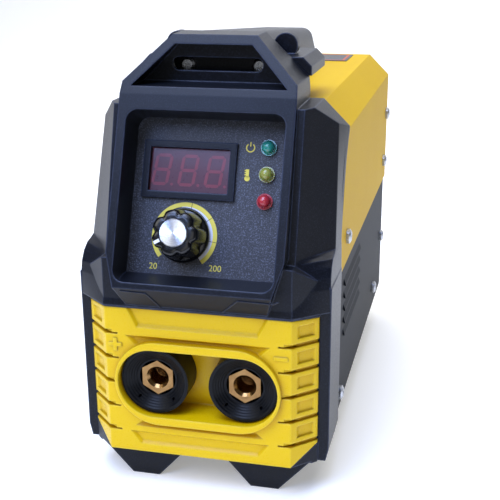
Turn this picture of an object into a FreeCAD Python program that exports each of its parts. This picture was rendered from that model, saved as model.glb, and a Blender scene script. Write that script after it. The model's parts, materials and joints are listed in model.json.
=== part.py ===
import FreeCAD, Part
import math
import os
import re
import Sketcher

# A hand-carried stick welding inverter, in millimetres.
# +Z is up, the front with the sockets looks towards -Y, and +X is the operator's right.
# The origin is on the floor, in the middle of the machine's box.

os.makedirs("parts", exist_ok=True)
doc = FreeCAD.newDocument("stick_welding_inverter")
Vector = FreeCAD.Vector
Rotation = FreeCAD.Rotation

# ---------------------------------------------------------------- driving sizes

SIZES = [
    ("front_edge", -150, "front-most point, the lip under the control recess"),
    ("case_width", 128.6, "sheet case, side to side"),
    ("case_length", 221.9, "sheet case, front edge to rear edge"),
    ("case_start", 55.1, "front edge of the sheet case, behind front_edge"),
    ("case_top", 193.1, "top of the sheet case above the floor"),
    ("case_base", 24, "underside of the tray above the floor"),
    ("case_corner", 13.5, "45 degree corner of the case, along x and z"),
    ("cover_edge", 107, "lower edge of the yellow cover"),
    ("sheet", 1, "steel sheet"),
    ("sheet_play", 0.1, "gap between cover and tray"),
    ("bezel_stand", 0.7, "how far the bezel stands out past the cover, each side"),
    ("wall", 2.5, "moulded wall"),
    ("face_setback", 9, "flat front of the socket panel, behind front_edge"),
    ("frame_setback", 21.8, "front of the lower frame, behind front_edge"),
    ("hood_half", 44.4, "half width of the hood"),
    ("hood_lean", 21.7, "lean of the control face, degrees"),
    ("hood_nose", 112, "height of the lip under the control face"),
    ("hood_crease", 200.7, "height where the hood turns to its upper face"),
    ("crown_lean", 32.8, "lean of the upper face, degrees"),
    ("crown_half", 21.6, "half width of the hood at its top"),
    ("hood_top", 228, "top of the hood and overall height"),
    ("hood_back", 72, "rear of the hood, behind front_edge"),
    ("ridge_half", 48, "half width at the ridge between hood and cheek"),
    ("ridge_low", 124, "height of the ridge's lower end"),
    ("ridge_setback", 15.4, "ridge's lower end, behind front_edge"),
    ("ridge_slope", 0.304, "how far the ridge leans back for each mm up"),
    ("shoulder", 111.3, "height of the frame's outer shoulder corner"),
    ("shoulder_radius", 14, "round of the shoulder in side view"),
    ("cheek_slope", 0.32, "how far the cheek's outer edge leans back for each mm up"),
    ("cheek_taper", 0.041, "how far the cheek's outer edge comes in for each mm up"),
    ("foot_inner", 25, "inner end of a front foot"),
    ("foot_outer", 39.7, "outer end of a front foot"),
    ("foot_setback", 9, "front of the feet behind the flat front"),
    ("panel_half", 59.5, "half width of the socket panel"),
    ("face_half", 47.8, "half width of the socket panel's flat face"),
    ("panel_low", 18.5, "lower edge of the socket panel"),
    ("panel_high", 98.3, "upper edge of the socket panel"),
    ("socket_pitch", 46, "distance between the two sockets"),
    ("socket_height", 58.7, "height of the sockets' axes"),
    ("socket_dia", 35.2, "socket insulator"),
    ("socket_bore", 9, "bore that takes the plug's pin"),
    ("socket_depth", 20, "depth of the bore"),
    ("insert_flats", 16.4, "brass insert across flats"),
    ("socket_front", 1.3, "insulator's face behind the flat front"),
    ("insert_front", 6, "insert's face behind the flat front"),
    ("insert_head", 7, "length of the insert's hexagon"),
    ("insert_mouth", 1.5, "chamfer at the mouth of the bore"),
    ("rim_gap", 0.9, "room round a socket inside the rim"),
    ("rim_wall", 4.2, "width of the rim above and below"),
    ("rim_end_cut", 2.6, "how much narrower the rim is at its round ends"),
    ("rim_stand", 2.5, "rim in front of the flat face"),
    ("recess_floor", 17, "floor behind the flat face"),
    ("rib_pitch", 13.45, "rib spacing on the socket panel"),
    ("groove", 2.2, "height of a groove between ribs"),
    ("slit", 0.9, "height of the vent slit at a groove's inner end"),
    ("dimple", 6.4, "height of the sunk field on a rib's wing"),
    ("dimple_deep", 1.6, "depth of that field, front to back"),
    ("control_depth", 20, "control plate below the hood face"),
    ("control_half", 40, "half width of the control recess"),
    ("control_low", -44.1, "lower edge of the recess on the plate's own axis"),
    ("control_high", 40.8, "upper edge of the recess on the plate's own axis"),
    ("control_sill", 5.7, "run of the sloped sill"),
    ("plate", 2, "control plate thickness"),
    ("display_long", 48.2, "display bezel width"),
    ("display_tall", 29.1, "display bezel height"),
    ("display_off", -11.2, "display centre from the middle"),
    ("lamp_dia", 8, "lamp lens"),
    ("lamp_off", 28.7, "lamps' distance from the middle"),
    ("lamp_pitch", 13.4, "lamp spacing"),
    ("knob_dia", 28, "knob skirt"),
    ("knob_tall", 20, "knob height above the plate"),
    ("knob_drop", 18.6, "knob axis below the display's lower edge"),
    ("shaft_dia", 6, "potentiometer shaft"),
    ("field_slope", 42, "slope of the sunk fields' walls, degrees"),
    ("slot_half", 20, "half length of the strap slot, to its round ends"),
    ("slot_tall", 6.6, "height of the strap slot"),
    ("slot_rise", 9, "strap slot above the hood's crease"),
    ("vent_start", 23, "front end of the louvres, behind the case's front edge"),
    ("vent_long", 66, "length of a louvre"),
    ("vent_low", 64, "lower edge of the lowest louvre"),
    ("vent_open", 3.6, "height of a louvre's slot"),
    ("vent_pitch", 7.3, "louvre spacing"),
    ("vent_out", 1.1, "how far a louvre's lip stands out of the tray"),
    ("handle_half", 19, "half width of the handle"),
    ("handle_clear", 42, "rear of the handle, ahead of the case's rear edge"),
    ("handle_thick", 14, "depth of the grip"),
    ("lug_off", 29, "distance of the strap lugs from the middle"),
    ("lug_dia", 12.6, "strap lugs beside the grip"),
    ("lug_reach", 7, "length of a strap lug"),
    ("lug_rise", 20.6, "underside of a strap lug above the case"),
    ("post_long", 20, "length of the handle's rear post"),
    ("grip_round", 7.5, "round of the grip's upper edges"),
    ("block_half", 45, "half width of the handle's cross block"),
    ("block_long", 41, "length of the cross block"),
    ("block_low", 13.4, "underside of the cross block above the case"),
    ("block_high", 22.5, "top of the cross block above the case"),
    ("hood_screw_off", 19, "screws from the hood into the handle, from the middle"),
    ("post_screw_off", 8, "screws from the case into the post, from the middle"),
    ("handle_fall", 0.08, "how far the handle falls for each mm towards the rear"),
    ("rear_frame", 12, "thickness of the rear bezel"),
    ("fan_side", 92, "fan frame"),
    ("fan_screw_in", 4.75, "fan screws in from each side of the fan"),
    ("guard_leg_in", 19.32, "guard's legs start in from each side of the fan"),
    ("fan_height", 86, "fan axis above the floor"),
    ("fan_deep", 25, "fan depth"),
    ("gland_reach", 23, "gland behind the rear bezel"),
    ("bezel_low_back", 55, "rear edge of the bezel low down, behind front_edge"),
    ("bezel_bend", 126, "height where the bezel's rear edge starts to lean"),
    ("flange", 12, "how far the bezel's flange reaches into the case"),
    ("board_height", 20, "main board above the tray"),
    ("board_half", 50, "half width of the main board"),
    ("board_clear", 8.9, "room between the main board and the fan"),
    ("board_start", 26, "front of the main board, behind the case's front edge"),
    ("board_thick", 1.6, "thickness of a circuit board"),
    ("switch_height", 160, "height of the power switch"),
    ("switch_off", 28, "distance of switch and gland from the middle"),
    ("lead_dia", 10, "mains lead"),
    ("screw_dia", 4, "small screws"),
    ("screw_head", 8, "heads of the small screws"),
]

sheet = doc.addObject("Spreadsheet::Sheet", "dims")
for row, (alias, value, words) in enumerate(SIZES, start=1):
    sheet.set(f"A{row}", alias)
    sheet.set(f"B{row}", str(value))
    sheet.set(f"C{row}", words)
    sheet.setAlias(f"B{row}", alias)
doc.recompute()

ALIASES = {alias for alias, value, words in SIZES}
TURN = {
    "up": Rotation(),
    "down": Rotation(Vector(1, 0, 0), 180),
    "front": Rotation(Vector(1, 0, 0), 90),
    "rear": Rotation(Vector(1, 0, 0), -90),
    "right": Rotation(Vector(0, 1, 0), 90),
    "left": Rotation(Vector(0, 1, 0), -90),
    "rear on edge": Rotation(Vector(1, 0, 0), -90) * Rotation(Vector(0, 0, 1), 90),
}


def cells(text):
    """Write each alias in an expression as a cell of the sheet."""
    return re.sub(r"[a-z_]+", lambda word: "dims." + word[0] if word[0] in ALIASES else word[0], str(text))


def bind(item, **fields):
    """Bind numeric properties of an object to expressions."""
    for name, text in fields.items():
        item.setExpression(name.replace("__", "."), cells(text))
    return item


def place(item, x=0, y=0, z=0, turn="up"):
    """Give an object its place, with the position bound to the sheet."""
    item.Placement = FreeCAD.Placement(Vector(), TURN[turn])
    return bind(item, Placement__Base__x=x, Placement__Base__y=y, Placement__Base__z=z)


# Lines used in several places, as expressions of the sheet's cells.
FACE_Y = "(front_edge + face_setback)"
FRAME_Y = "(front_edge + frame_setback)"
CASE_Y = "(front_edge + case_start)"
REAR_Y = "(front_edge + case_start + case_length)"
PANEL_Y = "(front_edge + case_start + case_length - rear_frame)"
HOOD_Y = "(front_edge + hood_back)"
HALF = "(case_width / 2)"
BEZEL_HALF = "(case_width / 2 + bezel_stand)"
BOARD_LONG = "(case_length - rear_frame - fan_deep - board_start - board_clear)"
TRAY_HALF = "(case_width / 2 - sheet - sheet_play)"


def hood_face(z):
    """y of the control face at a height."""
    return f"(front_edge + 0.4 + ({z} - hood_nose) * tan(hood_lean))"


HANDLE_Z = "(case_top + 18)"
# Side screws through the case into the bezel's flange, as y and z.
BEZEL_SCREWS = [(f"({HOOD_Y} + 5)", "121.6"), (f"({HOOD_Y} - 3)", "33.6")]
REAR_SCREWS = [(f"({REAR_Y} - 8)", "153.5"), (f"({REAR_Y} - 8)", "63.5")]
SHEET_SCREWS = [(f"({REAR_Y} - 17)", "121.7"), (f"({REAR_Y} - 49)", "38")]
UPPER_SCREWS = [BEZEL_SCREWS[0], SHEET_SCREWS[0], REAR_SCREWS[0]]
LOWER_SCREWS = [BEZEL_SCREWS[1], SHEET_SCREWS[1], REAR_SCREWS[1]]

CREASE_Y = hood_face("hood_crease")
CROWN_Y = f"({CREASE_Y} + (hood_top - hood_crease) * tan(crown_lean))"
# Lower edge of the display on the control plate's front surface.
PLATE_Z = "(hood_nose + 36.3)"
PLATE_Y = f"({hood_face(PLATE_Z)} + control_depth / cos(hood_lean))"


def on_plate(item, x=0, up=0, out=0):
    """Stand an object on the leaning control plate: its z axis looks out of the plate."""
    item.Placement = FreeCAD.Placement(Vector(), Rotation(Vector(1, 0, 0), 68.3))
    y = f"{PLATE_Y} + ({up}) * sin(hood_lean) - ({out}) * cos(hood_lean)"
    z = f"{PLATE_Z} + ({up}) * cos(hood_lean) + ({out}) * sin(hood_lean)"
    bind(item, Placement__Base__x=x, Placement__Base__y=y, Placement__Base__z=z)
    return bind(item, Placement__Rotation__Angle="90 - hood_lean")


# ---------------------------------------------------------------- small makers


def body(label):
    item = doc.addObject("PartDesign::Body", label)
    item.Label = label
    return item


def sketch(owner, plane, offset=0):
    """A sketch on one of the body's own origin planes, lifted along the plane's normal."""
    item = owner.newObject("Sketcher::SketchObject", "outline")
    support = [face for face in owner.Origin.OriginFeatures if face.Role == plane][0]
    item.AttachmentSupport = [(support, "")]
    item.MapMode = "FlatFace"
    if offset != 0:
        bind(item, AttachmentOffset__Base__z=offset)
    return item


def loop(item, points):
    """Add one closed polygon whose corners are bound to the sheet."""
    start = item.GeometryCount
    count = len(points)
    guess = [
        (40 * math.cos(2 * math.pi * k / count), 40 * math.sin(2 * math.pi * k / count)) for k in range(count)
    ]
    for k in range(count):
        here = Vector(*guess[k], 0)
        there = Vector(*guess[(k + 1) % count], 0)
        item.addGeometry(Part.LineSegment(here, there))
    for k in range(count):
        item.addConstraint(Sketcher.Constraint("Coincident", start + k, 2, start + (k + 1) % count, 1))
    for k, (first, second) in enumerate(points):
        for kind, text, value in (("DistanceX", first, guess[k][0]), ("DistanceY", second, guess[k][1])):
            index = item.addConstraint(Sketcher.Constraint(kind, -1, 1, start + k, 1, value))
            item.setExpression(f"Constraints[{index}]", cells(text))
    return item


def mirrored(points):
    """Corners of a shape that is symmetric about x = 0, from its right half, top to bottom."""
    other = [(f"-({x})", z) for x, z in reversed(points) if str(x) != "0"]
    return list(points) + other


def other_side(points):
    """The same corners on the other side of x = 0."""
    return [(f"-({x})", z) for x, z in reversed(points)]


def rectangle(x0, x1, z0, z1):
    return [(x0, z0), (x1, z0), (x1, z1), (x0, z1)]


def ring(item, x, z, radius):
    """Add one circle bound to the sheet."""
    index = item.addGeometry(Part.Circle(Vector(1, 1, 0), Vector(0, 0, 1), 5))
    rows = (("DistanceX", x), ("DistanceY", z))
    for kind, text in rows:
        row = item.addConstraint(Sketcher.Constraint(kind, -1, 1, index, 3, 1))
        item.setExpression(f"Constraints[{row}]", cells(text))
    row = item.addConstraint(Sketcher.Constraint("Radius", index, 5))
    item.setExpression(f"Constraints[{row}]", cells(radius))
    return item


def pad(owner, profile, length, back=False, middle=False):
    item = owner.newObject("PartDesign::Pad", "pad")
    item.Profile = profile
    item.Reversed = back
    item.Midplane = middle
    return bind(item, Length=length)


def pocket(owner, profile, length=None, back=False, middle=False):
    """Cut a profile away and make sure that it removed something."""
    doc.recompute()
    before = owner.Shape.Volume
    item = owner.newObject("PartDesign::Pocket", "pocket")
    item.Profile = profile
    item.Reversed = back
    item.Midplane = middle
    if length is None:
        item.Type = "ThroughAll"
    else:
        bind(item, Length=length)
    doc.recompute()
    if owner.Shape.Volume >= before - 1e-6:
        raise RuntimeError(f"a pocket of {owner.Label} cuts nothing")
    return item


def axis_of(owner, role):
    return [line for line in owner.Origin.OriginFeatures if line.Role == role][0]


def row_of(owner, features, role, length, count):
    """Repeat features along an axis of the body."""
    item = owner.newObject("PartDesign::LinearPattern", "row")
    item.Originals = features
    item.Direction = (axis_of(owner, role), [""])
    bind(item, Length=length)
    item.Occurrences = count
    owner.Tip = item
    return item


def mirror_of(owner, features, role="YZ_Plane"):
    item = owner.newObject("PartDesign::Mirrored", "mirror")
    item.Originals = features
    item.MirrorPlane = (axis_of(owner, role), [""])
    owner.Tip = item
    return item


def cylinder(name, radius, height, x=0, y=0, z=0, turn="up"):
    item = doc.addObject("Part::Cylinder", name)
    bind(item, Radius=radius, Height=height)
    return place(item, x, y, z, turn)


def box(name, x, y, z, length, width, height):
    """A block from its low corner and its sizes along x, y and z."""
    item = doc.addObject("Part::Box", name)
    bind(item, Length=length, Width=width, Height=height)
    return place(item, x, y, z)


def prism(name, sides, radius, height, x=0, y=0, z=0, turn="up"):
    item = doc.addObject("Part::Prism", name)
    item.Polygon = sides
    bind(item, Circumradius=radius, Height=height)
    return place(item, x, y, z, turn)


def cut(label, base, tool):
    item = doc.addObject("Part::Cut", label)
    item.Base = base
    item.Tool = tool
    return item


def fuse(label, *shapes):
    item = doc.addObject("Part::MultiFuse", label)
    item.Shapes = list(shapes)
    return item


def common(label, *shapes):
    item = doc.addObject("Part::MultiCommon", label)
    item.Shapes = list(shapes)
    return item


def group(label, shapes):
    """Identical pieces that share one node."""
    item = doc.addObject("Part::Compound", label)
    item.Links = list(shapes)
    return item


NODES = []


def node(item, label=None):
    """Mark a finished sub-part: its label names its file."""
    item.Label = label or item.Label
    NODES.append(item)
    return item


def screw(name, x, y, z, turn, length, dia="screw_dia", head="screw_head"):
    """A pan head screw with a cross recess: its head's underside is at the given point."""
    shank = cylinder(name + "_shank", f"{dia} / 2", length)
    dome = cylinder(name + "_head", f"{head} / 2", "1.6")
    place(dome, 0, 0, "-1.6")
    cap = doc.addObject("Part::Cone", name + "_cap")
    bind(cap, Radius1=f"{head} / 2 - 1.4", Radius2=f"{head} / 2", Height="0.9")
    place(cap, 0, 0, "-2.5")
    slot = [box(name + "_slot", "-1.8", "-0.4", "-3", 3.6, 0.8, 1.5)]
    slot.append(box(name + "_slot", "-0.4", "-1.8", "-3", 0.8, 3.6, 1.5))
    piece = cut(name, fuse(name + "_solid", shank, dome, cap), fuse(name + "_cross", *slot))
    return place(piece, x, y, z, turn)


# ---------------------------------------------------------------- front bezel


def hood_solid(name, inset):
    """The hood: its front outline and its side outline, both pushed in by the same wall."""
    front = body(name + "_front")
    outline = mirrored([
        ("0", f"hood_top - {inset}"),
        (f"crown_half - {inset} * 0.6", f"hood_top - {inset}"),
        (f"hood_half - 0.5 - {inset}", f"hood_crease + 5.6 - {inset} * 0.4"),
        (f"hood_half - {inset}", "hood_crease"),
        (f"hood_half - {inset}", f"hood_nose + 15.7 + {inset}"),
        ("hood_half - 9", f"hood_nose - 13.7 + {inset}"),
        ("0", f"hood_nose - 13.7 + {inset}"),
    ])
    pad(front, loop(sketch(front, "XZ_Plane", f"-{HOOD_Y}"), outline), "hood_back + 10")
    side = body(name + "_side")
    profile = [
        (f"front_edge + {inset} * 1.1", "hood_nose"),
        (f"{CREASE_Y} + {inset}", "hood_crease"),
        (f"{CROWN_Y} + {inset}", "hood_top + 1"),
        (f"{HOOD_Y}", "hood_top + 1"),
        (f"{HOOD_Y}", "hood_nose - 14"),
        (f"front_edge + face_setback + 1 + {inset}", "hood_nose - 14"),
    ]
    pad(side, loop(sketch(side, "YZ_Plane"), profile), "hood_half * 3", middle=True)
    return common(name, front, side)


def cheek_edge(z):
    """y of the cheek's outer edge: a quarter round at the shoulder, then a leaning line."""
    return f"({FRAME_Y} + shoulder_radius + 3.2 + ({z} - shoulder - shoulder_radius) * cheek_slope)"


def cheeks_solid(name, inset):
    """The two cheeks: level sections from the ridge to the outer edge, joined by ruled faces."""
    item = body(name)
    levels = []
    for step in range(5):
        angle = 90 * step / 4
        z = f"(shoulder + shoulder_radius * sin({angle}) - {inset})"
        y = f"({FRAME_Y} + 0.3 + shoulder_radius * (1 - cos({angle})) + {inset})"
        levels.append((z, y))
    top = "(case_top + 8)"
    for z in ("(shoulder + shoulder_radius + 1)", top):
        levels.append((z, f"({cheek_edge(z)} + {inset})"))
    profiles = []
    for z, y in [("(shoulder - 12)", levels[0][1])] + levels:
        ridge = f"(front_edge + ridge_setback + ({z} - ridge_low) * ridge_slope + {inset})"
        outer = f"({BEZEL_HALF} - {inset})"
        edge = f"({outer} - ({z} - shoulder + 12) * cheek_taper)"
        profile = sketch(item, "XY_Plane", z)
        loop(profile, [
            (edge, y), (f"ridge_half - {inset} * 0.5", ridge), (f"-(ridge_half - {inset} * 0.5)", ridge),
            (f"-{edge}", y), (f"-{outer}", HOOD_Y), (outer, HOOD_Y),
        ])
        profiles.append(profile)
    loft = item.newObject("PartDesign::AdditiveLoft", "loft")
    loft.Profile = profiles[0]
    loft.Sections = profiles[1:]
    loft.Ruled = True
    corner = loop(sketch(item, "XZ_Plane"), [
        (f"{BEZEL_HALF} + 1", f"case_top - case_corner + 2.3 - {inset} - 1"),
        (f"{BEZEL_HALF} + 1", "case_top + 30"),
        ("0", "case_top + 30"),
        ("0", f"case_top + 2.3 - {inset}"),
        (f"{BEZEL_HALF} - case_corner", f"case_top + 2.3 - {inset}"),
    ])
    first = pocket(item, corner, middle=True)
    mirror_of(item, [first])
    return item


def frame_solid(name, inset):
    """The lower frame with its shoulders and two feet."""
    item = body(name)
    outline = mirrored([
        ("0", f"ridge_low + 4 - {inset}"),
        (f"ridge_half - {inset} * 0.6", f"ridge_low - {inset}"),
        (f"{BEZEL_HALF} - {inset}", f"shoulder - {inset}"),
        (f"{BEZEL_HALF} - {inset}", f"panel_low + 6 + {inset} * 0.4"),
        (f"{BEZEL_HALF} - 1.5 - {inset}", f"panel_low - 1 + {inset}"),
        (f"foot_outer + 16 - {inset} * 0.6", f"panel_low - 1 + {inset}"),
        (f"foot_outer - {inset} * 0.6", f"{inset}"),
        (f"foot_inner + {inset} * 0.6", f"{inset}"),
        (f"foot_inner - 14 + {inset} * 0.4", f"panel_low - 3 + {inset}"),
        ("0", f"panel_low - 3 + {inset}"),
    ])
    profile = loop(sketch(item, "XZ_Plane", f"-({FACE_Y} + {inset})"), outline)
    pad(item, profile, f"{CASE_Y} - {FACE_Y} - {inset} + 6", back=True)
    plan = loop(sketch(item, "XY_Plane"), [
        (f"{BEZEL_HALF} + 9", f"{FRAME_Y} + {inset}"),
        ("panel_half", f"{FRAME_Y} + {inset}"),
        ("panel_half", f"{FRAME_Y} - 1.4 + {inset}"),
        ("face_half", f"{FACE_Y} + {inset}"),
        ("face_half", f"{FACE_Y} - 9"),
        (f"{BEZEL_HALF} + 9", f"{FACE_Y} - 9"),
    ])
    first = pocket(item, plan, middle=True)
    mirror_of(item, [first])
    step = loop(sketch(item, "YZ_Plane"), rectangle(
        f"{FACE_Y} - 9", f"{FACE_Y} + foot_setback + {inset}", "-5", f"panel_low + {inset}"))
    pocket(item, step, middle=True)
    return item


def front_bezel():
    outer = fuse("bezel_outer", hood_solid("hood", "0"), cheeks_solid("cheeks", "0"),
                 frame_solid("frame", "0"))
    inner = fuse("bezel_inner", hood_solid("hood_hollow", "wall"), cheeks_solid("cheeks_hollow", "wall"),
                 frame_solid("frame_hollow", "wall"))

    # The tub of the control recess keeps its own wall inside the hollow.
    tub = body("tub")
    half = "(control_half + wall)"
    pad(tub, loop(sketch(tub, "YZ_Plane"), [
        ("control_low + control_sill - wall", "0"), ("control_high + wall", "0"),
        ("control_high + wall", "control_depth + 30"),
        ("control_low - wall - control_sill", "control_depth + 10"),
    ]), f"{half} * 2", middle=True)
    on_plate(tub)
    opening = body("recess")
    pad(opening, loop(sketch(opening, "YZ_Plane"), [
        ("control_low + control_sill", "-5"), ("control_low + control_sill", "0"),
        ("control_low", "control_depth"), ("control_low - 6", "control_depth + 10"),
        ("control_high", "control_depth + 60"), ("control_high", "-5"),
    ]), "control_half * 2", middle=True)
    on_plate(opening)
    corners = body("recess_corners")
    pad(corners, loop(sketch(corners, "XY_Plane", "-10"), rectangle(
        "-control_half", "control_half", "control_low", "control_high")), "control_depth + 70")
    doc.recompute()
    round_edges(corners, lambda a, b: abs(a.z - b.z) > 5, "6")
    on_plate(corners)
    opening = common("control_recess", opening, corners)

    # The grip recess in the upper face ends at a wall with a strap slot through it.
    grip = body("grip_recess")
    pad(grip, loop(sketch(grip, "XZ_Plane", f"-({CREASE_Y} - 4)"), mirrored([
        ("0", "hood_top - 4.5"), ("crown_half - 2", "hood_top - 4.5"), ("hood_half - 5", "hood_crease + 3.4"),
        ("0", "hood_crease + 3.4"),
    ])), f"{CROWN_Y} + 4 - {CREASE_Y} + 4", back=True)
    grip_wall = body("grip_wall")
    pad(grip_wall, loop(sketch(grip_wall, "XZ_Plane", f"-({CREASE_Y} - 4)"), mirrored([
        ("0", "hood_top"), ("crown_half + 0.8", "hood_top"), ("hood_half - 2", "hood_crease + 0.9"),
        ("0", "hood_crease + 0.9"),
    ])), f"{CROWN_Y} + 4 - {CREASE_Y} + 4 + wall", back=True)
    slot = [box("strap_slot", "-slot_half", f"{CROWN_Y} + 1", "hood_crease + slot_rise",
                "slot_half * 2", 8, "slot_tall")]
    slot += [cylinder("slot_end", "slot_tall / 2", "8", x, f"{CROWN_Y} + 1",
                      "hood_crease + slot_rise + slot_tall / 2", "rear") for x in ("-slot_half", "slot_half")]

    # Behind the socket panel the frame is open.
    window = box("socket_window", "-panel_half + 4", f"{FACE_Y} - 5", "panel_low + 9",
                 "(panel_half - 4) * 2", "60", "panel_high - panel_low - 16")
    seat = body("panel_seat")
    pad(seat, loop(sketch(seat, "XZ_Plane", f"-({FACE_Y} - 12)"), panel_outline("0")),
        f"{FRAME_Y} - {FACE_Y} + 12", back=True)
    # The hood's rear wall stands on the case and carries the handle.
    rear_wall = box("hood_rear_wall", "-hood_half", f"{HOOD_Y} - wall", "case_top + 0.3",
                    "hood_half * 2", "wall + 1", 60)
    hollow = cut("bezel_hollow", inner, fuse("bezel_tubs", tub, grip_wall, rear_wall))
    behind = body("bezel_behind")
    pad(behind, loop(sketch(behind, "YZ_Plane"), bezel_back("0") + [
        ("front_edge + 200", "hood_top + 20"), ("front_edge + 200", "-10")]), "case_width * 2", middle=True)
    shell = cut("bezel_trimmed", cut("bezel_shell", outer, hollow), behind)

    # A flange slides into the sheet case behind the bezel, and a collar joins it to the bezel's wall.
    flange_gap = "sheet * 2 + sheet_play * 2 + 0.1"
    flange_inner = case_prism("flange_inner", f"{flange_gap} + wall")
    flange_ring = cut("flange_ring", case_prism("flange_outer", flange_gap), flange_inner)
    collar = cut("collar", cut("collar_ring", case_prism("collar_outer", "0.3"), flange_inner), behind)
    screw_holes = [cylinder("bezel_hole", "screw_dia / 2", "20", f"{side} * ({HALF} - 14)", y, z, turn)
                   for side, turn in ((1, "right"), (-1, "left")) for y, z in BEZEL_SCREWS]
    handle_holes = [cylinder("handle_hole", "screw_dia / 2 + 0.2", "wall * 3", x, f"{HOOD_Y} - wall * 2",
                             HANDLE_Z, "rear") for x in ("-hood_screw_off", "hood_screw_off")]
    solid = fuse("bezel_solid", shell, collar, flange_ring)
    tools = fuse("bezel_tools", opening, grip, *slot, window, seat, *screw_holes, *handle_holes)
    node(cut("front_bezel", solid, tools))


def case_prism(name, inset):
    """The case's outline pushed in, over the length of the bezel's flange."""
    item = body(name)
    outline = mirrored(case_outline(HALF, "case_top", inset) + [
        (f"{HALF} - ({inset})", f"case_base + {inset}"), ("0", f"case_base + {inset}"),
    ])
    start = "(front_edge + bezel_low_back - 6)"
    profile = loop(sketch(item, "XZ_Plane", f"-{start}"), outline)
    pad(item, profile, f"{HOOD_Y} - {start} + flange - 2", back=True)
    clear_of_bezel(item, "-4")
    return item


def panel_outline(inset):
    return mirrored([
        ("0", f"panel_high - {inset}"),
        (f"face_half - {inset} * 0.4", f"panel_high - {inset}"),
        (f"panel_half - {inset}", f"panel_high - 1.1 - {inset}"),
        (f"panel_half - {inset}", f"panel_low + 10 + {inset} * 0.4"),
        (f"face_half - {inset} * 0.4", f"panel_low + {inset}"),
        ("0", f"panel_low + {inset}"),
    ])


# ---------------------------------------------------------------- socket panel


def stadium(name, radius, start, length, reach="(socket_pitch / 2)"):
    """A solid with round ends about the two socket axes, or nearer the middle than they are."""
    ends = [cylinder(name + "_end", radius, length, f"{side} * {reach}", start, "socket_height", "rear")
            for side in (-1, 1)]
    middle = box(name + "_middle", f"-{reach}", start, f"socket_height - ({radius})",
                 f"{reach} * 2", length, f"({radius}) * 2")
    return fuse(name, *ends, middle)


def both_ways(owner, plane, offset, points, length, middle=False):
    """Cut the same shape on both sides of the panel, and repeat it up the five grooves."""
    profile = sketch(owner, plane, offset)
    loop(profile, points)
    loop(profile, other_side(points))
    row_of(owner, [pocket(owner, profile, length, middle=middle)], "Z_Axis", "rib_pitch * 4", 5)


def sunk_field(owner, top, top_half, low, low_half, depth):
    """A field sunk into the flat front, with sloping walls."""
    outline = mirrored([("0", top), (top_half, top), (low_half, low), ("0", low)])
    item = pocket(owner, loop(sketch(owner, "XZ_Plane", f"-{FACE_Y}"), outline), depth)
    bind(item, TaperAngle="-field_slope")


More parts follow.
